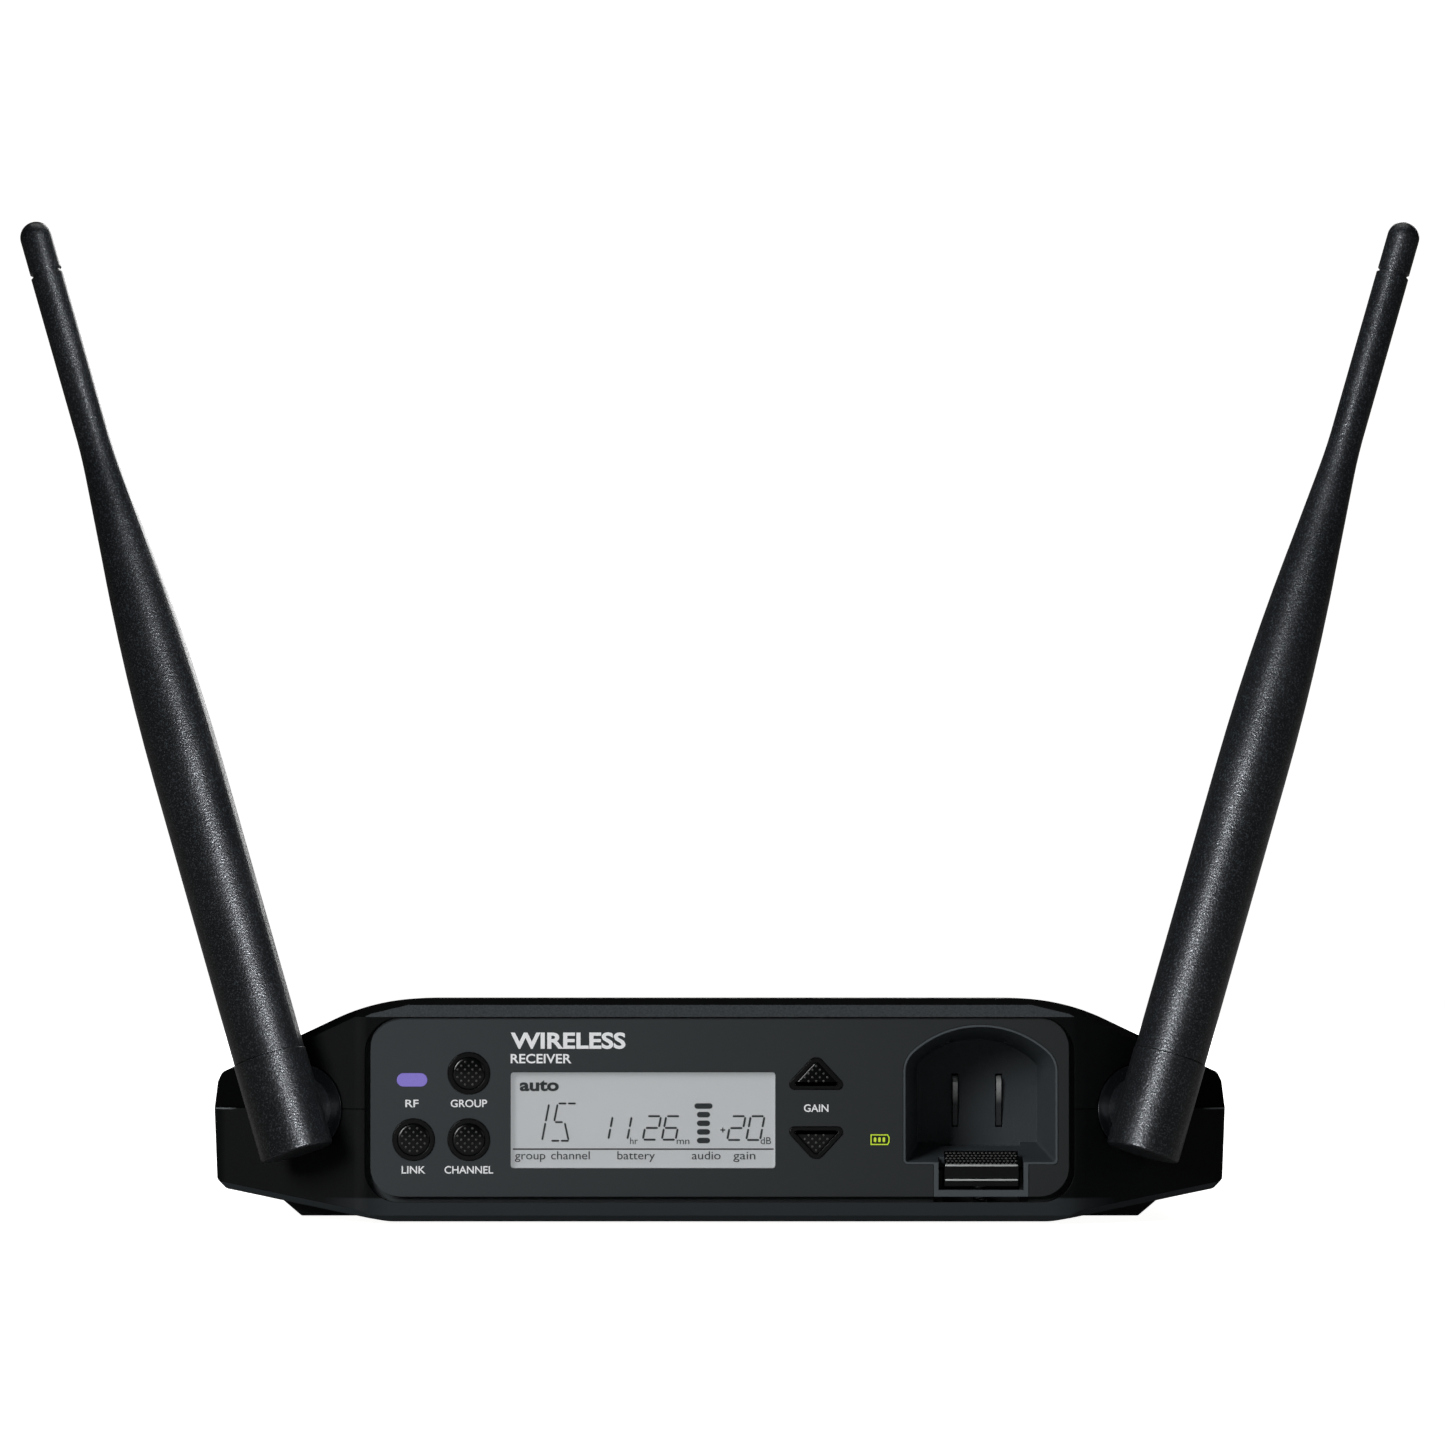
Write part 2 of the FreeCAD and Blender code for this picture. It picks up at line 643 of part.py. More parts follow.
def lcd_window():
    gap = 0.05
    outline = rectangle(LCD_X0 + gap, LCD_X1 - gap, LCD_Z0 + gap, LCD_Z1 - gap, 0.55)
    return front_prism(outline, 0.75, 2.0)


def lcd_module():
    glass = box(LCD_X0 - 1.6, LCD_X1 + 1.0, 3.6, 5.8, LCD_Z0 - 1.6, LCD_Z1 + 1.6)
    return glass.fuse(box(LCD_X0, LCD_X1, 5.8, 6.4, LCD_Z0, LCD_Z1))


def lcd_backlight():
    body = box(LCD_X0 - 1.6, LCD_X1 + 1.0, 6.4, FRONT_BOARD_D, LCD_Z0 - 1.6, LCD_Z1 + 1.6)
    return body.cut(box(LCD_X0 + 3, LCD_X1 - 3, 7.4, 8.4, LCD_Z0 + 2, LCD_Z1 + 3))


def light_pipe(centre, size):
    gap = 0.05
    shape = front_prism(pill(centre, (size[0] - 2 * gap, size[1] - 2 * gap)), 0.5, 8.2)
    return shape.fuse(front_prism(pill(centre, (size[0] + 1.0, size[1] + 1.0)), 3.55, 4.4))


def front_board():
    board = box(-62.5, 30.5, FRONT_BOARD_D, FRONT_BOARD_D + BOARD_THICK, 6.2, 36.0)
    for x, z in front_board_posts():
        board = board.cut(rod(x, z, 1.0, 8, 12))
    for x, z in (RF_LED, BATTERY_LED):
        led = box(x - 0.8, x + 0.8, 8.4, FRONT_BOARD_D, z - 0.5, z + 0.5)
        board = board.fuse(led)
    return board


def panel_screws():
    rear = FRONT_BOARD_D + BOARD_THICK
    screws = []
    for x, z in front_board_posts():
        head = rod(x, z, 1.7, rear, rear + 1.1).cut(rod(x, z, 0.6, rear + 0.5, rear + 2))
        screws.append(head.fuse(rod(x, z, 0.8, 5.5, rear)))
    return Part.makeCompound(screws)


# ---------------------------------------------------------- electronics

def main_board():
    top = MAIN_BOARD_Z + MAIN_BOARD_THICK
    board = box(-80, 80, 32, 111, MAIN_BOARD_Z, top)
    board = board.cut(box(-52, 33, 84, 112, 10, 15))
    for x, d in CASE_SCREW_SPOTS:
        board = board.cut(post(x, d, 4.8, 10, 15))
    for x, d in BOARD_SCREW_SPOTS:
        board = board.cut(post(x, d, 1.35, 10, 15))
    return board


def shield_cans():
    base = MAIN_BOARD_Z + MAIN_BOARD_THICK
    cans = []
    for x in (-68.0, 36.0):
        can = box(x, x + 30, 54, 78, base, base + 4.5)
        cans.append(can.cut(box(x + 0.4, x + 29.6, 54.4, 77.6, base - 1, base + 4.1)))
    return Part.makeCompound(cans)


def board_chips():
    base = MAIN_BOARD_Z + MAIN_BOARD_THICK
    chips = [
        box(-20, -6, 50, 64, base, base + 1.4),
        box(4, 12, 52, 60, base, base + 1.2),
        box(-18, -12, 70, 76, base, base + 1.0),
        post(8, 72, 4.0, base, base + 9),
        post(18, 72, 4.0, base, base + 9),
        box(18, 26, 50, 56, base, base + 3),
    ]
    return Part.makeCompound(chips)


def board_connectors():
    """Ribbon sockets on both boards and the two aerial plugs."""
    rear = FRONT_BOARD_D + BOARD_THICK
    top = MAIN_BOARD_Z + MAIN_BOARD_THICK
    sockets = [box(-14, 14, rear, rear + 2, 14.4, 18.4), box(-14, 14, 34, 38, top, top + 2)]
    plugs = [post(x, 46, 1.6, top, top + 1.8) for x in (-62, 62)]
    return Part.makeCompound(sockets + plugs)


def flex_cable():
    """The ribbon between the two boards."""
    d0, z0 = FRONT_BOARD_D + BOARD_THICK + 2, 16.4
    d1, z1 = 34.0, MAIN_BOARD_Z + MAIN_BOARD_THICK + 1
    thick, bend = 0.25, 20.0
    points = [(d0, z0), (bend, z0), (bend + 4, z1), (d1, z1)]
    lower = [(d, z - thick) for d, z in points]
    return side_prism(points + lower[::-1], -12, 12)


def coax(side):
    """The aerial lead from the swivel down to its plug on the board."""
    frame = swivel_placement(side, 0)
    start = frame.multVec(FreeCAD.Vector(0, 6.3, 0))
    knee = frame.multVec(FreeCAD.Vector(0, 13, 0))
    plug = vec(side * 62, 46, MAIN_BOARD_Z + MAIN_BOARD_THICK + 1.9)
    above = plug + FreeCAD.Vector(0, 0, 4)
    middle = (knee + above) * 0.5 + FreeCAD.Vector(0, 0, 1.5)
    curve = Part.BSplineCurve()
    curve.interpolate([start, knee, middle, above, plug])
    path = Part.Wire(curve.toShape())
    direction = curve.tangent(curve.FirstParameter)[0]
    section = Part.Wire(Part.makeCircle(0.6, start, direction))
    return path.makePipeShell([section], True, False)


# ----------------------------------------------------------- rear panel

def rear_panel():
    panel = front_prism(rear_outline(3.9), REAR_PANEL_D0, REAR_PANEL_D1)
    for x, radius in ((XLR_X, 9.5), (JACK_X, 4.8), (VOLUME_X, 3.6), (DC_X, 3.6)):
        panel = panel.cut(rod(x, REAR_AXIS_Z, radius, 110, 118))
    port = rectangle(USB_X - 4.2, USB_X + 4.2, 16.6, 20.6, 0.6)
    return panel.cut(front_prism(port, 110, 118))


def xlr_spots():
    """Centres of the three pins, two above and one below."""
    angles = [math.radians(a) for a in (-90, 30, 150)]
    reach = 3.9
    return [(XLR_X + reach * math.cos(a), REAR_AXIS_Z + reach * math.sin(a)) for a in angles]


def xlr_shell():
    z = REAR_AXIS_Z
    barrel = rod(XLR_X, z, 9.4, 97, 116)
    collar = rod(XLR_X, z, 11.2, REAR_PANEL_D1, 116.2)
    shell = barrel.fuse(collar).cut(rod(XLR_X, z, 8.3, 101, 120))
    for x, z in xlr_spots():
        shell = shell.cut(rod(x, z, XLR_ROOT + 0.05, 90, 102))
    return shell.removeSplitter()


def xlr_pins():
    """Three pins, thinner where they pass through the insulator."""
    pins = []
    for x, z in xlr_spots():
        pins.append(rod(x, z, 1.2, 101.1, 113.5).fuse(rod(x, z, XLR_ROOT, 93, 101.1)))
    return Part.makeCompound(pins)


def jack_socket():
    z = REAR_AXIS_Z
    body = box(JACK_X - 7.5, JACK_X + 7.5, 88, REAR_PANEL_D0, z - 7.5, z + 7.5)
    bushing = rod(JACK_X, z, 4.7, REAR_PANEL_D0, 119)
    return body.fuse(bushing).cut(rod(JACK_X, z, 3.25, 90, 121)).removeSplitter()


def hex_nut(x, across_flats, bore, d0, d1):
    corners = []
    for step in range(6):
        angle = math.radians(60 * step)
        reach = across_flats / math.sqrt(3)
        corners.append((x + reach * math.cos(angle), REAR_AXIS_Z + reach * math.sin(angle), 0))
    return front_prism(corners, d0, d1).cut(rod(x, REAR_AXIS_Z, bore, d0 - 1, d1 + 1))


def volume_pot():
    z = REAR_AXIS_Z
    can = rod(VOLUME_X, z, 8.0, 103, REAR_PANEL_D0)
    return can.fuse(rod(VOLUME_X, z, 3.5, REAR_PANEL_D0, 118.4)).cut(
        rod(VOLUME_X, z, 2.05, 106, 125)).removeSplitter()


def flatted_shaft(radius, flat, d0, d1):
    """A round shaft with one flat cut above its axis."""
    shaft = rod(VOLUME_X, REAR_AXIS_Z, radius, d0, d1)
    top = REAR_AXIS_Z + flat
    return shaft.cut(box(VOLUME_X - 5, VOLUME_X + 5, d0 - 1, d1 + 1, top, top + 5))


def volume_shaft():
    root = rod(VOLUME_X, REAR_AXIS_Z, 2.0, 107, 119.4)
    return root.fuse(flatted_shaft(2.0, 1.2, 119.4, 127)).removeSplitter()


def volume_knob():
    z = REAR_AXIS_Z
    skirt = rod(VOLUME_X, z, 7.0, 119.0, KNOB_END)
    skirt = skirt.cut(rod(VOLUME_X, z, 4.6, 118, 120.2))
    skirt = skirt.cut(flatted_shaft(2.03, 1.23, 118, 127.5))
    for step in range(18):
        angle = math.radians(20 * step)
        x = VOLUME_X + 7.35 * math.cos(angle)
        skirt = skirt.cut(rod(x, z + 7.35 * math.sin(angle), 0.7, 120.5, 129))
    pointer = box(VOLUME_X - 0.4, VOLUME_X + 0.4, 129.5, 131, z + 1.5, z + 6)
    return skirt.cut(pointer).removeSplitter()


def dc_jack():
    top = MAIN_BOARD_Z + MAIN_BOARD_THICK
    z = REAR_AXIS_Z
    body = box(DC_X - 4.7, DC_X + 4.7, 99, REAR_PANEL_D0, top, z + 5.2)
    nose = rod(DC_X, z, 3.5, REAR_PANEL_D0, 115.4)
    pin = rod(DC_X, z, 1.0, 100, 113.5)
    return body.fuse(nose).cut(rod(DC_X, z, 2.8, 103, 117)).fuse(pin).removeSplitter()


def usb_port():
    outline = rectangle(USB_X - 3.9, USB_X + 3.9, 16.9, 20.3, 0.5)
    shell = front_prism(outline, 106, 115.2).cut(front_prism(inset(outline, 0.35), 107, 117))
    tongue = box(USB_X - 2.2, USB_X + 2.2, 106.9, 113, 18.8, 19.4)
    legs = box(USB_X - 3.4, USB_X + 3.4, 106, 110, MAIN_BOARD_Z + MAIN_BOARD_THICK, 17.0)
    return fused([shell, tongue, legs])


def cord_hook():
    """The loop on the rear panel that keeps the supply lead from pulling out."""
    x, z = 77.0, REAR_AXIS_Z
    loop = side_prism([(REAR_PANEL_D1, z - 5), (120.2, z - 5), (121, z - 4.2),
                       (121, z + 4.2), (120.2, z + 5), (REAR_PANEL_D1, z + 5)], x - 1.5, x + 1.5)
    return loop.cut(box(x - 3, x + 3, 113, 119, z - 3, z + 3))


# ------------------------------------------------------------- antennas

def along_whip(radius, z0, z1):
    """A cylinder about the whip axis, in the local swivel frame."""
    return Part.makeCylinder(radius, z1 - z0, FreeCAD.Vector(0, -STANDOFF, z0))


def knuckle():
    """The hollow barrel at the foot of the whip, before it is split."""
    length = KNUCKLE_HIGH - KNUCKLE_LOW
    barrel = along_whip(KNUCKLE_RADIUS, KNUCKLE_LOW, KNUCKLE_HIGH)
    bottom = [e for e in barrel.Edges if e.BoundBox.ZMax < KNUCKLE_LOW + 0.01]
    barrel = barrel.makeFillet(0.5, bottom)
    return barrel, along_whip(5.2, KNUCKLE_LOW + 1.5, KNUCKLE_LOW + length + 1)


def half_space(front):
    size = 60
    y = -STANDOFF - size if front else -STANDOFF
    return Part.makeBox(size, size, size, FreeCAD.Vector(-size / 2, y, -size / 2))


def base_outer(side):
    barrel, cavity = knuckle()
    return placed(barrel.common(half_space(True)).cut(cavity), side)


def base_inner(side):
    barrel, cavity = knuckle()
    neck = hub(5.8, -STANDOFF, -0.1)
    shell = barrel.common(half_space(False)).fuse(neck).cut(cavity)
    return placed(shell.cut(hub(BORE, -STANDOFF, 1)).removeSplitter(), side)


def swivel(side):
    disc = hub(7.9, -0.1, 2.3)
    stem = hub(6.3, 2.3, 4.8)
    collar = hub(7.6, 4.8, 6.0)
    return placed(fused([disc, stem, collar]).cut(hub(BORE, -1, 8)), side)


def revolved(profile_edges):
    """Turn a closed profile in the local x'z' plane about the whip axis."""
    face = Part.Face(Part.Wire(profile_edges))
    return face.revolve(FreeCAD.Vector(0, -STANDOFF, 0), FreeCAD.Vector(0, 0, 1), 360)


def profile_point(radius, z):
    return FreeCAD.Vector(radius, -STANDOFF, z)


def line(start, end):
    return Part.LineSegment(profile_point(*start), profile_point(*end)).toShape()


def arc(start, middle, end):
    points = [profile_point(*p) for p in (start, middle, end)]
    return Part.Arc(*points).toShape()


def whip(side):
    """The sleeve: thick below, easing into a long taper, thin above."""
    shoulder = (SLEEVE_RADIUS, TAPER_START)
    drop = 1.76
    bend = (SLEEVE_RADIUS - drop, TAPER_BEND)
    ease = (SLEEVE_RADIUS - drop / 4, (TAPER_START + TAPER_BEND) / 2)
    neck = (THIN_RADIUS + 0.28, TAPER_END - 6.4)
    blend = (THIN_RADIUS + 0.09, TAPER_END - 3.2)
    thin = (THIN_RADIUS, TAPER_END)
    spigot, foot = 5.1, 5.5
    edges = [
        line((BORE, foot), (spigot, foot)),
        line((spigot, foot), (spigot, KNUCKLE_HIGH + 0.1)),
        line((spigot, KNUCKLE_HIGH + 0.1), (SLEEVE_RADIUS, KNUCKLE_HIGH + 0.1)),
        line((SLEEVE_RADIUS, KNUCKLE_HIGH + 0.1), shoulder),
        arc(shoulder, ease, bend),
        line(bend, neck),
        arc(neck, blend, thin),
        line(thin, (THIN_RADIUS, CAP_START)),
        line((THIN_RADIUS, CAP_START), (BORE, CAP_START)),
        line((BORE, CAP_START), (BORE, foot)),
    ]
    return placed(revolved(edges), side)


def whip_cap(side):
    radius = THIN_RADIUS - 0.05
    groove, stub = 2.6, BORE - 0.05
    crown = ANTENNA_END - radius
    knee = math.sqrt(0.5)
    edges = [
        line((0, CAP_START - 5), (stub, CAP_START - 5)),
        line((stub, CAP_START - 5), (stub, CAP_START)),
        line((stub, CAP_START), (groove, CAP_START)),
        line((groove, CAP_START), (groove, CAP_START + 0.9)),
        line((groove, CAP_START + 0.9), (radius, CAP_START + 0.9)),
        line((radius, CAP_START + 0.9), (radius, crown)),
        arc((radius, crown), (radius * knee, crown + radius * knee), (0, ANTENNA_END)),
        line((0, ANTENNA_END), (0, CAP_START - 5)),
    ]
    return placed(revolved(edges), side)


def radiator(side):
    """The metal rod in the whip with its lead soldered on, out to the swivel bore."""
    radius = 0.6
    across = hub(radius, -STANDOFF, 5.8)
    elbow = Part.makeSphere(radius, FreeCAD.Vector(0, -STANDOFF, 0))
    lead = along_whip(radius, 0, 9.5)
    return placed(fused([across, elbow, lead, along_whip(1.0, 9.0, 150.0)]), side)


def antenna_parts():
    parts = {}
    for name, side in (("left", -1), ("right", 1)):
        parts[name + "_swivel"] = swivel(side)
        parts[name + "_base_inner"] = base_inner(side)
        parts[name + "_base_outer"] = base_outer(side)
        parts[name + "_whip"] = whip(side)
        parts[name + "_cap"] = whip_cap(side)
        parts[name + "_radiator"] = radiator(side)
        parts[name + "_coax"] = coax(side)
    return parts


def all_parts():
    parts = {
        "top_shell": top_shell(),
        "bottom_shell": bottom_shell(),
        "base_plate": base_plate(),
        "label_plate": label_plate(),
        "rubber_feet": rubber_feet(),
        "case_screws": case_screws(),
        "front_panel": front_panel(),
        "bay_cup": bay_cup(),
        "contact_block": contact_block(),
        "contact_left": charge_contact(-1),
        "contact_right": charge_contact(1),
        "latch": latch(),
        "latch_guide": latch_guide(),
        "latch_spring": latch_spring(),
        "tact_switches": tact_switches(),
        "lcd_window": lcd_window(),
        "lcd_module": lcd_module(),
        "lcd_backlight": lcd_backlight(),
        "rf_light_pipe": light_pipe(RF_LED, RF_LED_SIZE),
        "battery_lens": light_pipe(BATTERY_LED, BATTERY_LED_SIZE),
        "front_board": front_board(),
        "panel_screws": panel_screws(),
        "main_board": main_board(),
        "board_screws": board_screws(),
        "shield_cans": shield_cans(),
        "board_chips": board_chips(),
        "board_connectors": board_connectors(),
        "flex_cable": flex_cable(),
        "rear_panel": rear_panel(),
        "xlr_shell": xlr_shell(),
        "xlr_pins": xlr_pins(),
        "jack_socket": jack_socket(),
        "jack_nut": hex_nut(JACK_X, 13.0, 4.75, REAR_PANEL_D1, 117.1),
        "volume_pot": volume_pot(),
        "volume_nut": hex_nut(VOLUME_X, 10.0, 3.55, REAR_PANEL_D1, 117.1),
        "volume_shaft": volume_shaft(),
        "volume_knob": volume_knob(),
        "dc_jack": dc_jack(),
        "usb_port": usb_port(),
        "cord_hook": cord_hook(),
    }
    for name in ROUND_BUTTONS:
        parts[name + "_button"] = round_button(name)
    for name in ("gain_up", "gain_down"):
        parts[name + "_button"] = gain_button(name)
    parts.update(antenna_parts())
    return parts


os.makedirs("parts", exist_ok=True)
for name, shape in all_parts().items():
    shape.exportStep("parts/" + name + ".step")
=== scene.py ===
import math

import bmesh
import bpy
from mathutils import Matrix, Vector


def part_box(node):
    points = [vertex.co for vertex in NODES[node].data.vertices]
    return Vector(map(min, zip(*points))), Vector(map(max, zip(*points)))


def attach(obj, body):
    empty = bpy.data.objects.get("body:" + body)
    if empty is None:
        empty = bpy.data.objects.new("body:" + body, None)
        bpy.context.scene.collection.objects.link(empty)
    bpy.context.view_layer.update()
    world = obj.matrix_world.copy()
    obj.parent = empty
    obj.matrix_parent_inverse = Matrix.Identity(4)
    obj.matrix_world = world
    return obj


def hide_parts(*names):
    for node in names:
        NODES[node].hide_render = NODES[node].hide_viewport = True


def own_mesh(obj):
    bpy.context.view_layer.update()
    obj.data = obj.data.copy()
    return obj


# Looks of the tabletop wireless receiver. Lengths are in millimetres until MM turns
# them into metres; X is the width, -Y is the front, Z is up.

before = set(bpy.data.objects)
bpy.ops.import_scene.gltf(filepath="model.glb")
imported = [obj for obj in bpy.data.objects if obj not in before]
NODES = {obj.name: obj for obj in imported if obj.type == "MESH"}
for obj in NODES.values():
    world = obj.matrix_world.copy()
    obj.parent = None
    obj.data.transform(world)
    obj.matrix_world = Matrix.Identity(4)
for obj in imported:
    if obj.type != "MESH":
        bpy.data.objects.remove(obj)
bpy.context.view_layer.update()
MM = 0.001

CAMERA_DISTANCE = 1200.0    # from the front face
CAMERA_HEIGHT = 58.7
AIM_HEIGHT = 90.9
AIM_X = 0.5
VIEW_WIDTH = 261.7          # seen across the front face
SENSOR = 36.0
CLIP_NEAR, CLIP_FAR = 0.05, 50.0    # metres

WELD = 1e-6                 # metres: CAD vertices this close are one
FLAT = 2e-5                 # metres: a flat face's vertices lie this close to its plane

BUTTONS = ["group_button", "link_button", "channel_button", "gain_up_button",
           "gain_down_button"]
DISH = 0.35                 # depth of the dish in each button
PAD_STEPS = [(0.06, 0.0), (0.08, 0.16), (0.16, 0.26), (0.32, 0.33), (0.6, 0.36)]
DOT_FOOT = 0.355            # foot of the dots above the floor of the dish
DOT_RADIUS, DOT_HEIGHT = 0.22, 0.16
DOT_PITCH, DOT_MARGIN = 0.68, 0.62
DOT_ROWS, DOT_COLUMNS = 7, 9        # either side of the middle
DOT_SIDES = 10

INK = 0.03                  # thickness of printed ink
LABEL_DROP = 5.45           # label's top edge below the middle of its button
LABEL_CAP, LABEL_WEIGHT = 1.3, 0.014

FILM_GAP, CELL_GAP = 0.02, 0.12     # film behind, figures before the window's back
FILM_CORNER = 0.5
FIGURE_SLANT = 0.19
SEGMENT_TRIM = 0.95         # end of a segment cut off, in strokes
# Display figures: text, x and z of the lower left corner, pitch, width, height, stroke.
FIGURES = [
    ("15", 2.2, 4.9, 5.0, 3.45, 6.75, 0.34),
    ("11", 15.15, 5.1, 3.45, 2.5, 4.25, 0.36),
    ("26", 23.9, 5.1, 3.45, 2.5, 4.25, 0.36),
    ("20", 39.2, 5.05, 3.45, 2.5, 4.3, 0.36),
]
METER_X, METER_BASE, METER_PITCH, METER_STROKE = 34.9, 4.95, 1.56, 1.0
METER_REACH = [0.7, 0.7, 0.7, 0.7, 1.15]    # half lengths of the bars, upwards
PLUS_X, PLUS_Z, PLUS_ARM, PLUS_STROKE = 38.4, 6.85, 0.36, 0.22
RULE_START, RULE_END, RULE_Z, RULE_STROKE = 0.5, 47.5, 3.4, 0.26
CAPTION_CAP, CAPTION_Z = 1.45, 1.55
UNIT_Z = 4.3

ICON_HALF_X, ICON_HALF_Z, ICON_STEP, ICON_STROKE = 1.62, 0.86, 0.25, 0.2
CELL_PITCH, CELL_SHIFT, CELL_HALF, CELL_STROKE = 0.8, -0.1, 0.22, 0.46

RAMP_RISE, RAMP_RUN = 2.5, 3.4      # slope of the latch
RAMP_FACE = 2.6             # upright face under the slope, as far as the lower bar
PIP_ROWS, PIP_COLUMNS, PIP_HALF = 5, 18, 0.3
BAR_RADIUS, BAR_INSET, BAR_DEPTH = 0.2, 0.1, 0.12
COIL_WIRE, COIL_TURNS, COIL_SIDES, COIL_STEPS = 0.25, 5, 8, 24
COIL_SLACK = 0.03           # left free under the top of the CAD spring

OVERHEAD, KEY, FILL, REAR, STRIP = 3.2, 15.0, 1.0, 16.0, 0.5    # watts
STRIP_SPREAD = 20           # degrees
WORLD_GLOW, FLOOR_GLOW = 0.015, 0.04    # for all but camera rays


def rgb(code):
    """A linear colour from an sRGB hex code."""
    parts = [int(code[i:i + 2], 16) / 255 for i in (0, 2, 4)]
    linear = [p / 12.92 if p <= 0.04045 else ((p + 0.055) / 1.055) ** 2.4 for p in parts]
    return (*linear, 1.0)


def shade(colour, factor):
    return (*[min(1.0, c * factor) for c in colour[:3]], 1.0)


# ------------------------------------------------------------ node graphs

class Graph:
    """Builds the node tree of one material; most methods return an output socket."""

    def __init__(self, name):
        self.material = bpy.data.materials.new(name)
        self.material.use_nodes = True
        self.tree = self.material.node_tree
        self.shader = self.tree.nodes["Principled BSDF"]
        self.output = self.tree.nodes["Material Output"]
        self.place = self.add("TexCoord").outputs["Object"]

    def put(self, value, socket):
        if isinstance(value, bpy.types.NodeSocket):
            self.tree.links.new(value, socket)
        else:
            socket.default_value = value

    def add(self, kind, inputs=None, **settings):
        node = self.tree.nodes.new("ShaderNode" + kind)
        for key, value in settings.items():
            setattr(node, key, value)
        for key, value in (inputs or {}).items():
            self.put(value, node.inputs[key])
        return node

    def math(self, operation, a, b=0.0):
        return self.add("Math", {0: a, 1: b}, operation=operation).outputs[0]

    def times(self, mask, *others):
        """The product of masks and weights."""
        for other in others:
            mask = self.math("MULTIPLY", mask, other)
        return mask

    def either(self, mask, *others):
        """The largest of masks."""
        for other in others:
            mask = self.math("MAXIMUM", mask, other)
        return mask

    def mix(self, factor, a, b):
        return self.add("Mix", {0: factor, 6: a, 7: b}, data_type="RGBA").outputs[2]

    def scaled(self, value, low, high, to_low=0.0, to_high=1.0):
        inputs = {0: value, 1: low, 2: high, 3: to_low, 4: to_high}
        return self.add("MapRange", inputs, clamp=True).outputs[0]

    def noise(self, size, detail=2.0, stretch=(1, 1, 1)):
        """Noise whose grains are about size millimetres across."""
        place = self.add("Mapping", {"Vector": self.place, "Scale": stretch}).outputs[0]
        inputs = {"Vector": place, "Scale": 1 / (size * MM), "Detail": detail}
        return self.add("TexNoise", inputs).outputs[0]

    def cells(self, size):
        inputs = {"Vector": self.place, "Scale": 1 / (size * MM)}
        return self.add("TexVoronoi", inputs).outputs[0]

    def axis(self, source, index):
        return self.add("SeparateXYZ", {0: source}).outputs[index]

    def face_normal(self):
        return self.add("NewGeometry").outputs["True Normal"]

    def rounded(self, radius):
        """The normal with every edge rounded over."""
        return self.add("Bevel", {"Radius": radius * MM}, samples=6).outputs[0]

    def edges(self, radius):
        """0 on flats, rising to 1 on sharp edges."""
        inputs = {0: self.rounded(radius), 1: self.face_normal()}
        dot = self.add("VectorMath", inputs, operation="DOT_PRODUCT").outputs["Value"]
        return self.scaled(dot, 0.995, 0.8)

    def bump(self, height, depth, normal):
        inputs = {"Height": height, "Distance": depth * MM, "Strength": 1.0,
                  "Normal": normal}
        return self.add("Bump", inputs).outputs[0]

    def between(self, value, low, high, soft):
        """1 where value lies between low and high, with soft shoulders."""
        rise = self.scaled(value, low - soft, low)
        fall = self.scaled(value, high, high + soft, 1.0, 0.0)
        return self.times(rise, fall)

    def finish(self, **sockets):
        names = {"colour": "Base Color", "roughness": "Roughness", "normal": "Normal",
                 "metallic": "Metallic", "specular": "Specular IOR Level",
                 "coat": "Coat Weight", "coat_roughness": "Coat Roughness",
                 "glow": "Emission Color", "glow_strength": "Emission Strength"}
        for key, value in sockets.items():
            self.put(value, self.shader.inputs[names[key]])
        return self.material


def moulded(name, code, roughness, grain=0.25, relief=0.02, wear=0.35, round_over=0.15,
            specular=0.5):
    """Moulded plastic: eroded grain, faint clouding, paler and duller on its edges."""
    graph = Graph(name)
    base = rgb(code)
    cloud = graph.noise(14, 3)
    tone = graph.mix(cloud, shade(base, 0.86), shade(base, 1.14))
    edge = graph.times(graph.edges(round_over * 1.6), wear)
    tone = graph.mix(edge, tone, shade(base, 2.2))
    normal = graph.bump(graph.noise(grain, 3), relief, graph.rounded(round_over))
    worn = graph.scaled(cloud, 0.3, 0.7, roughness - 0.05, roughness + 0.05)
    return graph, dict(colour=tone, roughness=worn, normal=normal, specular=specular)


def plain_moulded(name, *args, **kwargs):
    graph, sockets = moulded(name, *args, **kwargs)
    return graph.finish(**sockets)


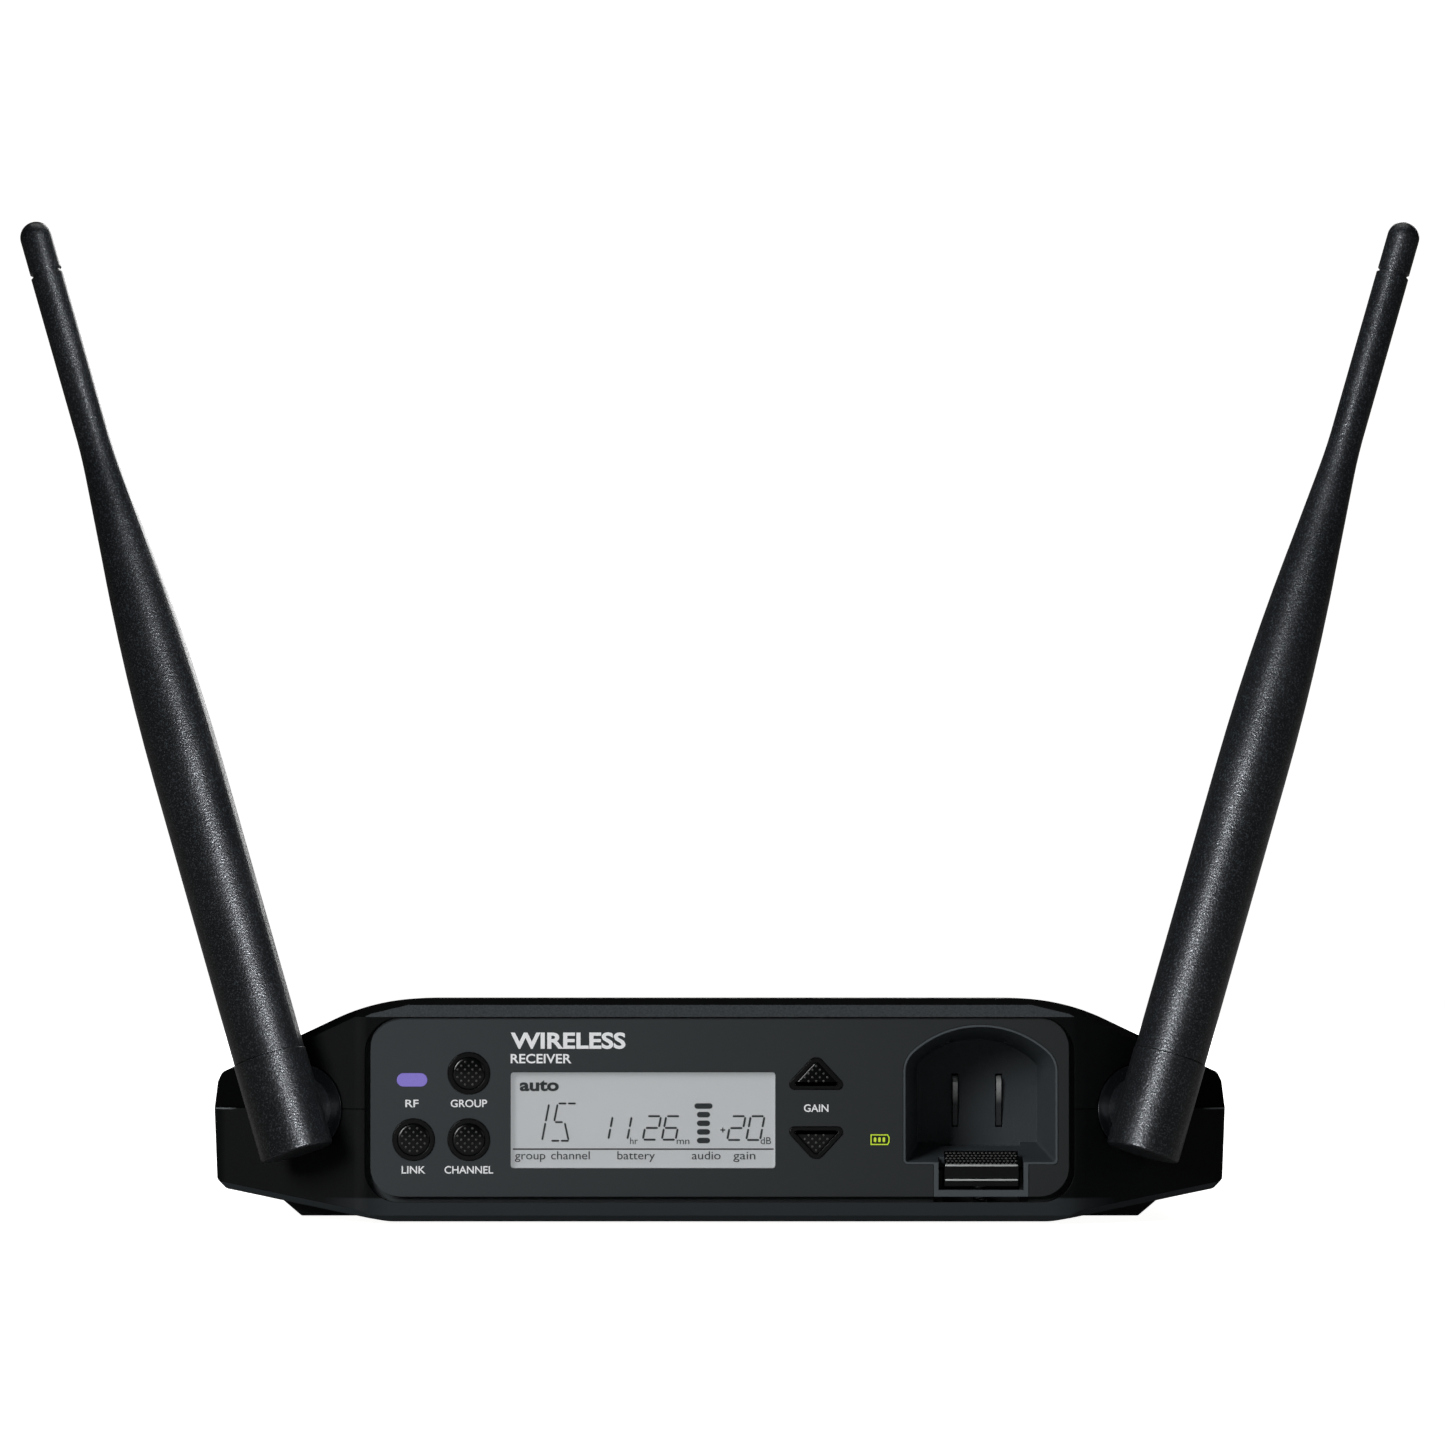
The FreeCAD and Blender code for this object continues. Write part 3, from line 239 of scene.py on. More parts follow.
def shell_material():
    """The case: satin black. Painted shade makes the lid's chamfer, the gap between the shells
    and the antenna pockets pure black; a painted highlight makes the brow speckled and paler,
    painted light from the floor makes the chin paler, and a painted highlight makes the ends of
    the ledge paler."""
    specular, shade_specular = 0.11, 0.03
    graph, sockets = moulded("case_shell", "07090A", 0.5, grain=0.3, relief=0.02, wear=0.25,
                             round_over=0.2, specular=specular)
    normal = graph.face_normal()
    up, ahead = graph.axis(normal, 2), graph.axis(normal, 1)
    x = graph.math("ABSOLUTE", graph.axis(graph.place, 0))
    z = graph.axis(graph.place, 2)
    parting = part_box("top_shell")[0].z
    soft = 0.05 * MM

    faces_front = graph.scaled(ahead, -0.3, -0.36)
    # Painted shade: the lid's chamfer, the gap between the shells and the antenna pockets are
    # painted pure black, with less specular.
    lid_chamfer_shade = graph.times(graph.scaled(up, 0.5, 0.56), faces_front)
    parting_shade = graph.between(z, parting - 0.05 * MM, parting + 0.12 * MM, soft)
    pocket_shade = graph.times(graph.scaled(x, 79 * MM, 80 * MM),
                         graph.scaled(z, parting, parting + 0.1 * MM),
                         graph.scaled(ahead, -0.3, -0.5))
    painted_shade = graph.either(lid_chamfer_shade, parting_shade, pocket_shade)
    # Painted highlight: the upward-tilted brow is painted paler and speckled, as if lit from
    # above.
    brow = graph.times(graph.between(up, 0.36, 0.46, 0.03), faces_front)
    brow_light_speckle = graph.mix(graph.noise(0.35, 3), rgb("2C3032"), rgb("54585B"))
    # Painted light from the floor: the chin and the bottom edge are painted paler.
    bottom_edge = graph.times(graph.scaled(z, 5.0 * MM, 4.7 * MM),
                              graph.scaled(x, 72 * MM, 60 * MM))
    chin = graph.times(graph.either(graph.scaled(up, -0.2, -0.4), bottom_edge),
                       graph.scaled(ahead, -0.1, -0.3), 0.9)
    # Painted highlight on the ends of the ledge of the lower shell, as if lit from above.
    ledge = graph.times(graph.scaled(x, 88 * MM, 90 * MM),
                        graph.between(z, parting - 0.28 * MM, parting - 0.06 * MM, soft), 0.6)

    tone = graph.mix(brow, sockets["colour"], brow_light_speckle)
    tone = graph.mix(chin, tone, rgb("373C3F"))
    tone = graph.mix(painted_shade, tone, rgb("020303"))
    sockets["colour"] = graph.mix(ledge, tone, rgb("8A9092"))
    sockets["specular"] = graph.scaled(painted_shade, 0, 1, specular, shade_specular)
    return graph.finish(**sockets)


def panel_material():
    """The front panel: matt charcoal, very fine grain, with painted light making it paler to
    the left.
    """
    graph, sockets = moulded("front_panel_matt", "303436", 0.62, grain=0.16, relief=0.012,
                             wear=0.3, round_over=0.12, specular=0.35)
    # Painted light: paler to the left and darker to the right, as if lit from the left.
    across = graph.scaled(graph.axis(graph.place, 0), -65 * MM, 65 * MM)
    painted_left_light = graph.mix(across, rgb("404649"), rgb("262A2B"))
    sockets["colour"] = graph.mix(0.85, sockets["colour"], painted_left_light)
    return graph.finish(**sockets)


def antenna_material():
    """Soft-touch black with a coarse sparkling grain; paler specks painted into its colour
    stand for glints.
    """
    graph, sockets = moulded("antenna_grain", "08090A", 0.34, grain=0.34, relief=0.06,
                             wear=0.4, round_over=0.2)
    sparkle_and_painted_glint = graph.scaled(graph.noise(0.32, 2), 0.52, 0.66)
    # Painted glints: paler specks in the colour where the grain sparkles.
    sockets["colour"] = graph.mix(sparkle_and_painted_glint, sockets["colour"], rgb("191C1E"))
    sockets["specular"] = graph.scaled(sparkle_and_painted_glint, 0, 1, 0.4, 0.9)
    return graph.finish(**sockets)


def gloss_material():
    graph, sockets = moulded("gloss_black", "060708", 0.2, grain=0.6, relief=0.004,
                             wear=0.15, round_over=0.12, specular=0.4)
    sockets["coat"], sockets["coat_roughness"] = 0.25, 0.1
    return graph.finish(**sockets)


def bay_material():
    """The charging bay: pebbled grain, with a painted highlight making the lip paler."""
    graph, sockets = moulded("bay_pebble", "42484C", 0.5, grain=0.4, relief=0.06, wear=0.3,
                             round_over=0.15, specular=0.3)
    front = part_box("bay_cup")[0].y
    # Painted highlight: the front of the lip is painted paler.
    lip = graph.scaled(graph.axis(graph.place, 1), front + 0.25 * MM, front + 0.05 * MM)
    sockets["colour"] = graph.mix(lip, sockets["colour"], rgb("555C60"))
    return graph.finish(**sockets)


def metal(name, code, roughness, brushed=(1, 1, 1)):
    """Plated or machined metal with fine brushing and faint tarnish."""
    graph = Graph(name)
    base = rgb(code)
    lines = graph.noise(0.12, 2, brushed)
    tarnish = graph.scaled(graph.noise(3, 3), 0.35, 0.75)
    return graph.finish(
        colour=graph.mix(tarnish, base, shade(base, 0.7)),
        roughness=graph.scaled(lines, 0.3, 0.7, roughness * 0.7, roughness * 1.4),
        normal=graph.bump(lines, 0.004, graph.rounded(0.12)), metallic=1.0)


def socket_material():
    """The XLR socket: a nickel ring around a black insert."""
    graph = Graph("xlr_nickel")
    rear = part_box("xlr_shell")[1].y
    insert = graph.scaled(graph.axis(graph.place, 1), rear - 1.6 * MM, rear - 1.3 * MM, 1, 0)
    lines = graph.noise(0.12, 2)
    tarnish = graph.mix(graph.noise(3, 3), rgb("B9B6AE"), rgb("8E8C86"))
    return graph.finish(colour=graph.mix(insert, tarnish, rgb("0B0C0C")),
                        roughness=graph.scaled(insert, 0, 1, 0.24, 0.5),
                        normal=graph.bump(lines, 0.004, graph.rounded(0.12)),
                        metallic=graph.scaled(insert, 0, 1, 1, 0))


def contact_material():
    """Spring leaves: painted light on the bend at the top, painted shade down the blade into
    the slot.
    """
    graph = Graph("contact_leaf")
    low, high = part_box("contact_left")
    z = graph.axis(graph.place, 2)
    # Painted light at the top of the leaves, fading to painted shade further down.
    painted_top_light = graph.scaled(z, low.z + 4 * MM, high.z - 1.6 * MM)
    lines = graph.noise(0.12, 2, (1, 1, 0.2))
    return graph.finish(colour=graph.mix(painted_top_light, rgb("3C4042"), rgb("D8DADA")),
                        roughness=graph.scaled(lines, 0.3, 0.7, 0.25, 0.4),
                        normal=graph.bump(lines, 0.004, graph.rounded(0.1)),
                        metallic=0.35)


def board_material():
    """Solder mask over faint copper traces."""
    graph = Graph("circuit_board")
    traces = graph.add("TexBrick", {"Vector": graph.place, "Scale": 300.0,
                                    "Color1": rgb("0E4A2C"), "Color2": rgb("12583A"),
                                    "Mortar": rgb("1F7A50"), "Mortar Size": 0.03})
    dots = graph.scaled(graph.cells(2.2), 0.1, 0.16, 1.0, 0.0)
    tone = graph.mix(dots, traces.outputs["Color"], rgb("B08D3C"))
    normal = graph.bump(traces.outputs["Fac"], 0.03, graph.rounded(0.1))
    return graph.finish(colour=tone, roughness=0.35, normal=normal)


def lamp_material(name, code, glow):
    """A lit, frosted lens."""
    graph = Graph(name)
    base = rgb(code)
    frost = graph.noise(0.3, 3)
    tone = graph.mix(frost, shade(base, 0.9), shade(base, 1.1))
    normal = graph.bump(frost, 0.01, graph.rounded(0.1))
    return graph.finish(colour=tone, roughness=0.3, normal=normal, glow=tone,
                        glow_strength=glow)


def ink_material(name, code, glow=0.0):
    """Printed ink, slightly uneven; its glow is light from behind on the battery lens and
    painted light on the front labels.
    """
    graph = Graph(name)
    base = rgb(code)
    patch = graph.noise(0.5, 2)
    tone = graph.mix(patch, shade(base, 0.92), shade(base, 1.04))
    normal = graph.bump(patch, 0.004, graph.rounded(0.02))
    return graph.finish(colour=tone, roughness=0.5, normal=normal, glow=tone,
                        glow_strength=glow)


def film_material():
    """The reflective sheet behind the display cells, with a painted shadow under the top of the
    window; its glow is painted light.
    """
    graph = Graph("display_film")
    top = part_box("lcd_window")[1].z
    z = graph.axis(graph.place, 2)
    shadow = graph.times(graph.scaled(z, top - 1.6 * MM, top - 0.2 * MM), 0.35)
    speck = graph.noise(0.2, 2)
    tone = graph.mix(speck, rgb("AFB2B4"), rgb("B8BBBD"))
    tone = graph.mix(shadow, tone, rgb("8A9092"))
    normal = graph.bump(speck, 0.004, graph.rounded(0.02))
    # Painted light: the reflective film glows.
    return graph.finish(colour=tone, roughness=0.6, normal=normal, glow=tone,
                        glow_strength=0.72)


def clear_material():
    """The clear display window: see-through with a faint reflection."""
    graph = Graph("display_window")
    rough = graph.scaled(graph.noise(6, 3), 0.3, 0.7, 0.08, 0.16)
    normal = graph.rounded(0.1)
    gloss = graph.add("BsdfAnisotropic", {"Roughness": rough, "Normal": normal}).outputs[0]
    clear = graph.add("BsdfTransparent", {"Color": rgb("F6F6F6")}).outputs[0]
    fresnel = graph.add("Fresnel", {"IOR": 1.35, "Normal": normal}).outputs[0]
    surface = graph.add("MixShader", {0: fresnel, 1: clear, 2: gloss}).outputs[0]
    graph.put(surface, graph.output.inputs["Surface"])
    return graph.material


# ---------------------------------------------------------------- pieces

def link(name, data):
    """A new object in the scene."""
    holder = bpy.data.objects.new(name, data)
    bpy.context.scene.collection.objects.link(holder)
    return holder


def add_piece(name, bm, material, body):
    """A finished mesh, already in place, riding on its CAD body."""
    mesh = bpy.data.meshes.new(name)
    bm.to_mesh(mesh)
    bm.free()
    piece = link(name, mesh)
    mesh.materials.append(material)
    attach(piece, body)
    return piece


def smooth(piece, angle):
    piece.data.polygons.foreach_set("use_smooth", [True] * len(piece.data.polygons))
    piece.data.set_sharp_from_angle(angle=math.radians(angle))


def face_outwards(bm):
    bmesh.ops.recalc_face_normals(bm, faces=bm.faces)


def face_front(face):
    """Turn a face towards -Y."""
    face.normal_update()
    if face.normal.y > 0:
        face.normal_flip()


def front_loop(node, depth):
    """The outline of a CAD node's flat face this far behind its foremost point, as
    (x, z) points counter-clockwise, and the y of that face."""
    bm = bmesh.new()
    bm.from_mesh(NODES[node].data)
    bmesh.ops.remove_doubles(bm, verts=bm.verts, dist=WELD)
    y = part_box(node)[0].y + depth * MM
    flat = {f for f in bm.faces if all(abs(v.co.y - y) < FLAT for v in f.verts)}
    rim = [e for e in bm.edges if sum(f in flat for f in e.link_faces) == 1]
    ahead = {}
    for edge in rim:
        face = next(f for f in edge.link_faces if f in flat)
        loop = next(l for l in face.loops if l.edge == edge)
        ahead[loop.vert.index] = loop.link_loop_next.vert
    start = max(rim, key=lambda e: e.verts[0].co.z).verts[0]
    points, vert = [], start
    while True:
        points.append(Vector((vert.co.x, vert.co.z)))
        vert = ahead[vert.index]
        if vert.index == start.index:
            break
    bm.free()
    return (points[::-1] if area(points) < 0 else points), y


def area(points):
    pairs = zip(points, points[1:] + points[:1])
    return sum(a.x * b.y - b.x * a.y for a, b in pairs) / 2


def offset_loop(points, amount):
    """A convex counter-clockwise outline moved inwards."""
    moved = []
    for i, point in enumerate(points):
        a = (point - points[i - 1]).normalized()
        b = (points[(i + 1) % len(points)] - point).normalized()
        inward = Vector((-a.y, a.x)) + Vector((-b.y, b.x))
        moved.append(point + inward.normalized() * amount)
    return moved


def inside(points, point, margin):
    """True if point is inside the convex outline by at least margin."""
    for a, b in zip(points, points[1:] + points[:1]):
        edge = (b - a).normalized()
        if edge.x * (point.y - a.y) - edge.y * (point.x - a.x) < margin:
            return False
    return True


def turns(count):
    """Angles evenly spaced around a circle."""
    return [2 * math.pi * k / count for k in range(count)]


def add_ring(bm, points, y):
    return [bm.verts.new((p.x, y, p.y)) for p in points]


def bridge(bm, outer, inner):
    for i in range(len(outer)):
        j = (i + 1) % len(outer)
        bm.faces.new((outer[i], inner[i], inner[j], outer[j]))


def bridge_all(bm, rings):
    for low, high in zip(rings, rings[1:]):
        bridge(bm, low, high)


def add_dot(bm, x, y, z):
    """A small rounded bump facing -Y."""
    radius, height = DOT_RADIUS * MM, DOT_HEIGHT * MM
    rings = []
    for tilt in (0, 35, 65):
        reach = radius * math.cos(math.radians(tilt))
        rise = height * math.sin(math.radians(tilt))
        rings.append([bm.verts.new((x + reach * math.cos(t), y - rise, z + reach * math.sin(t)))
                      for t in turns(DOT_SIDES)])
    bridge_all(bm, rings)
    top = bm.verts.new((x, y - height, z))
    for i in range(DOT_SIDES):
        bm.faces.new((rings[-1][i], top, rings[-1][(i + 1) % DOT_SIDES]))


def button_pad(node, material, highlight_dot_material):
    """The domed, dotted pad that fills the dish of a button."""
    outline, floor = front_loop(node, DISH)
    bm = bmesh.new()
    rings = [add_ring(bm, offset_loop(outline, inset * MM), floor - rise * MM)
             for inset, rise in PAD_STEPS]
    bridge_all(bm, rings)
    bm.faces.new(rings[-1][::-1])
    face_outwards(bm)
    smooth(add_piece(node + "_pad", bm, material, node + "_body"), 50)

    bm = bmesh.new()
    xs, zs = [p.x for p in outline], [p.y for p in outline]
    middle = Vector(((min(xs) + max(xs)) / 2, (min(zs) + max(zs)) / 2))
    for row in range(-DOT_ROWS, DOT_ROWS + 1):
        for column in range(-DOT_COLUMNS, DOT_COLUMNS + 1):
            spot = middle + Vector((column, row)) * DOT_PITCH * MM
            if (row + column) % 2 == 0 and inside(outline, spot, DOT_MARGIN * MM):
                add_dot(bm, spot.x, floor - DOT_FOOT * MM, spot.y)
    face_outwards(bm)
    smooth(add_piece(node + "_dots", bm, highlight_dot_material, node + "_body"), 60)


# ---------------------------------------------------------------- text

def word_mesh(text, weight):
    """A word in the built-in typeface."""
    curve = bpy.data.curves.new("word", "FONT")
    curve.body = text
    curve.offset = weight
    curve.resolution_u = 4
    holder = link("word", curve)
    bpy.context.view_layer.update()
    seen = holder.evaluated_get(bpy.context.evaluated_depsgraph_get())
    mesh = bpy.data.meshes.new_from_object(seen)
    bpy.data.objects.remove(holder)
    bpy.data.curves.remove(curve)
    return mesh


def capital_height():
    mesh = word_mesh("H", 0.0)
    ys = [v.co.y for v in mesh.vertices]
    bpy.data.meshes.remove(mesh)
    return max(ys) - min(ys)


def lettering(name, words, y, material):
    """Words given as (text, capital height, width, centre x, base z, weight); the first
    two lengths are in millimetres, the places in metres."""
    unit = capital_height()
    bm = bmesh.new()
    for text, cap, width, x, z, weight in words:
        mesh = word_mesh(text, weight)
        xs = [v.co.x for v in mesh.vertices]
        low, high = min(xs), max(xs)
        across, upward = width * MM / (high - low), cap * MM / unit
        place = Matrix(((across, 0, 0, x - across * (low + high) / 2),
                        (0, 0, -1, y), (0, upward, 0, z), (0, 0, 0, 1)))
        mesh.transform(place)
        bm.from_mesh(mesh)
        bpy.data.meshes.remove(mesh)
    face_outwards(bm)
    for face in bm.faces:
        face_front(face)
    add_piece(name, bm, material, "case")


def node_centre(node):
    low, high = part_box(node)
    return (low + high) / 2


def front_labels():
    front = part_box("front_panel")[0].y - INK * MM
    window_low, window_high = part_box("lcd_window")
    left, top = window_low.x, window_high.z
    group, link_button = node_centre("group_button"), node_centre("link_button")
    channel, lamp = node_centre("channel_button"), node_centre("rf_light_pipe")
    gain = (node_centre("gain_up_button") + node_centre("gain_down_button")) / 2
    drop = (LABEL_DROP + LABEL_CAP / 2) * MM
    places = [
        ("RF", 2.4, lamp.x, group.z - drop),
        ("GROUP", 6.6, group.x, group.z - drop),
        ("LINK", 4.3, link_button.x, link_button.z - drop),
        ("CHANNEL", 8.8, channel.x, channel.z - drop),
        ("GAIN", 4.45, gain.x, gain.z - LABEL_CAP / 2 * MM),
    ]
    words = [(text, LABEL_CAP, width, x, z, LABEL_WEIGHT) for text, width, x, z in places]
    words += [("WIRELESS", 2.7, 20.8, left + 10.4 * MM, top + 4.4 * MM, 0.03),
              ("RECEIVER", 1.6, 11.0, left + 5.5 * MM, top + 1.7 * MM, 0.018)]
    # The label ink glows: painted light that makes the print paler than the lamps alone make
    # it.
    lettering("front_labels", words, front, ink_material("label_ink_painted_glow", "E6E8EA", 0.3))


# ---------------------------------------------------------------- display

def add_bar(bm, start, end, width, y):
    """A round-ended stroke between two (x, z) points."""
    along = (end - start).normalized()
    half = width / 2
    turn = math.atan2(along.y, along.x)
    verts = []
    for centre, first in ((end, turn - math.pi / 2), (start, turn + math.pi / 2)):
        for step in range(7):
            angle = first + math.pi * step / 6
            verts.append(bm.verts.new((centre.x + half * math.cos(angle), y,
                                       centre.y + half * math.sin(angle))))
    face_front(bm.faces.new(verts))


SEGMENTS = {
    "top": ((0, 1), (1, 1)), "middle": ((0, 0.5), (1, 0.5)), "bottom": ((0, 0), (1, 0)),
    "upper_left": ((0, 0.5), (0, 1)), "upper_right": ((1, 0.5), (1, 1)),
    "lower_left": ((0, 0), (0, 0.5)), "lower_right": ((1, 0), (1, 0.5)),
    "top_a": ((0, 1), (0.5, 1)), "top_b": ((0.5, 1), (1, 1)),
    "bottom_a": ((0, 0), (0.5, 0)), "bottom_b": ((0.5, 0), (1, 0)),
    "middle_a": ((0, 0.5), (0.5, 0.5)), "leg": ((0.55, 0.5), (0.95, 0)),
}
DIGITS = {
    "1": ["upper_right", "lower_right"],
    "2": ["top", "upper_right", "middle", "lower_left", "bottom"],
    "6": ["top", "upper_left", "middle", "lower_left", "lower_right", "bottom"],
    "0": ["top", "upper_left", "upper_right", "lower_left", "lower_right", "bottom"],
    "5": ["top_a", "top_b", "upper_left", "middle_a", "leg", "bottom_a", "bottom_b"],
}


def add_digit(bm, digit, corner, width, height, stroke, y):
    for name in DIGITS[digit]:
        ends = [corner + Vector((a * width + b * height * FIGURE_SLANT, b * height))
                for a, b in SEGMENTS[name]]
        trim = (ends[1] - ends[0]).normalized() * stroke * SEGMENT_TRIM
        add_bar(bm, ends[0] + trim, ends[1] - trim, stroke, y)


def display_film(low, high, y):
    """The sheet behind the figures, with rounded corners."""
    radius = FILM_CORNER * MM
    right, left = high.x - radius, low.x + radius
    top, bottom = high.z - radius, low.z + radius
    bm = bmesh.new()
    verts = []
    for x, z, start in ((right, top, 0), (left, top, 90), (left, bottom, 180),
                        (right, bottom, 270)):
        for step in range(5):
            angle = math.radians(start + 22.5 * step)
            verts.append(bm.verts.new((x + radius * math.cos(angle), y,
                                       z + radius * math.sin(angle))))
    face_front(bm.faces.new(verts))
    add_piece("lcd_film", bm, film_material(), "case")


def display():
    """Everything seen through the window: film, figures, meter, rule and captions."""
    low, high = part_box("lcd_window")
    ink_y = high.y - CELL_GAP * MM
    display_film(low, high, high.y + FILM_GAP * MM)

    def spot(x, z):
        return Vector((low.x + x * MM, low.z + z * MM))

    bm = bmesh.new()

    def stroke(x0, z0, x1, z1, width):
        add_bar(bm, spot(x0, z0), spot(x1, z1), width * MM, ink_y)

    for text, x, z, pitch, width, height, thickness in FIGURES:
        for place, digit in enumerate(text):
            add_digit(bm, digit, spot(x + place * pitch, z), width * MM, height * MM,
                      thickness * MM, ink_y)
    for step, reach in enumerate(METER_REACH):
        z = METER_BASE + METER_PITCH * step
        stroke(METER_X - reach, z, METER_X + reach, z, METER_STROKE)
    stroke(PLUS_X - PLUS_ARM, PLUS_Z, PLUS_X + PLUS_ARM, PLUS_Z, PLUS_STROKE)
    stroke(PLUS_X, PLUS_Z - PLUS_ARM, PLUS_X, PLUS_Z + PLUS_ARM, PLUS_STROKE)
    stroke(RULE_START, RULE_Z, RULE_END, RULE_Z, RULE_STROKE)
    ink = ink_material("display_cells", "3A4043")
    add_piece("lcd_figures", bm, ink, "case")

    places = [("auto", 2.05, 7.1, 5.15, 14.0, 0.035)]
    places += [(text, CAPTION_CAP, width, x, CAPTION_Z, 0.0) for text, width, x in (
        ("group", 5.5, 3.5), ("channel", 7.0, 10.8), ("battery", 6.8, 22.7),
        ("audio", 5.2, 35.4), ("gain", 4.0, 42.3))]
    places += [(text, cap, width, x, UNIT_Z, 0.0) for text, cap, width, x in (
        ("hr", 1.2, 1.4, 22.3), ("mn", 1.2, 2.3, 31.2), ("dB", 1.25, 1.9, 46.2))]
    words = [(text, cap, width, *spot(x, z), weight)
             for text, cap, width, x, z, weight in places]
    lettering("lcd_words", words, ink_y, ink)


def battery_icon():
    """Lit outline of a battery with three cells, on the small lens."""
    centre = node_centre("battery_lens")
    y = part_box("battery_lens")[0].y - INK * MM

    def spot(x, z):
        return Vector((centre.x + x * MM, centre.z + z * MM))

    wide, high, shoulder = ICON_HALF_X, ICON_HALF_Z, ICON_HALF_X - ICON_STEP
    points = [spot(-wide, -high), spot(shoulder, -high), spot(wide, -high / 2),
              spot(wide, high / 2), spot(shoulder, high), spot(-wide, high)]
    bm = bmesh.new()
    for a, b in zip(points, points[1:] + points[:1]):
        add_bar(bm, a, b, ICON_STROKE * MM, y)
    for cell in (-1, 0, 1):
        x = cell * CELL_PITCH + CELL_SHIFT
        add_bar(bm, spot(x, -CELL_HALF), spot(x, CELL_HALF), CELL_STROKE * MM, y)
    add_piece("battery_icon", bm, ink_material("battery_glow", "BCD438", 0.5), "case")


# ---------------------------------------------------------------- latch

def add_pip(bm, base, slope, away):
    """A four-sided pip standing on the ramp; slope and away are (y, z) directions."""
    half = PIP_HALF * MM
    across = Vector((1, 0, 0))
    uphill = Vector((0, slope.x, slope.y))
    out = Vector((0, away.x, away.y))
    verts = [bm.verts.new(base + side * half)
             for side in (across, uphill, -across, -uphill)]
    top = bm.verts.new(base + out * half * 0.6)
    for i in range(4):
        bm.faces.new((verts[i], verts[(i + 1) % 4], top))


def add_rod(bm, start, length, radius, sides=12):
    """A rod along X with rounded ends."""
    stations = [(0, 0.5), (0.3, 0.85), (1.0, 1.0)]
    xs = [(start.x + s * radius, r) for s, r in stations]
    xs += [(start.x + length - s * radius, r) for s, r in stations[::-1]]
    rings = [[bm.verts.new((x, start.y + r * radius * math.cos(t),
                            start.z + r * radius * math.sin(t))) for t in turns(sides)]
             for x, r in xs]
    bridge_all(bm, rings)
    bm.faces.new(rings[0])
    bm.faces.new(rings[-1])


def latch_grip(material):
    """Knurled pips up the ramp of the latch and a rounded bar along each edge, both painted
    pale grey as highlights.
    """
    low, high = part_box("latch")
    front, width = low.y, high.x - low.x
    edge = high.z - RAMP_RISE * MM
    slope = Vector((RAMP_RUN, RAMP_RISE)) * MM
    away = Vector((-slope.y, slope.x)).normalized()
    bm = bmesh.new()
    for row in range(PIP_ROWS):
        place = Vector((front, edge)) + slope * ((row + 0.75) / (PIP_ROWS + 0.5))
        for column in range(PIP_COLUMNS):
            share = (column + 0.6 + 0.4 * (row % 2)) / (PIP_COLUMNS + 0.6)
            add_pip(bm, Vector((low.x + width * share, place.x, place.y)),
                    slope.normalized(), away)
    face_outwards(bm)
    add_piece("latch_knurl", bm, material, "latch_body")

    bm = bmesh.new()
    for z in (edge, edge - RAMP_FACE * MM):
        add_rod(bm, Vector((low.x + BAR_INSET * MM, front + BAR_DEPTH * MM, z)),
                width - 2 * BAR_INSET * MM, BAR_RADIUS * MM)
    face_outwards(bm)
    # Painted highlight: the bars are pale grey to stand for the light caught by the latch's
    # rounded edges.
    bar_highlight = plain_moulded("latch_edge_highlight", "D0D4D4", 0.22, grain=0.3, relief=0.004, wear=0.2,
                             round_over=0.05)
    smooth(add_piece("latch_bars", bm, bar_highlight, "latch_body"), 60)


def latch_coil(material):
    """The latch spring as a coil, in place of the CAD spring, which is hidden."""
    low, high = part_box("latch_spring")
    foot = Vector(((low.x + high.x) / 2, (low.y + high.y) / 2, low.z))
    length = high.z - low.z
    wire = COIL_WIRE * MM
    radius = (high.x - low.x) / 2 - wire
    rise = length - 2 * wire - COIL_SLACK * MM
    count = COIL_TURNS * COIL_STEPS
    bm = bmesh.new()
    rings = []
    for step in range(count + 1):
        turn = 2 * math.pi * step / COIL_STEPS
        out = Vector((math.cos(turn), math.sin(turn), 0))
        core = foot + out * radius + Vector((0, 0, wire + rise * step / count))
        rings.append([bm.verts.new(core + out * wire * math.cos(a)
                                   + Vector((0, 0, wire * math.sin(a))))
                      for a in turns(COIL_SIDES)])
    bridge_all(bm, rings)
    bm.faces.new(rings[0])
    bm.faces.new(rings[-1])
    face_outwards(bm)
    coil = add_piece("latch_coil", bm, material, "case")
    smooth(coil, 60)
    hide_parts("latch_spring")
    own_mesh(coil)


# ---------------------------------------------------------------- dressing

def dress(node, material):
    mesh = NODES[node].data
    mesh.materials.clear()
    mesh.materials.append(material)


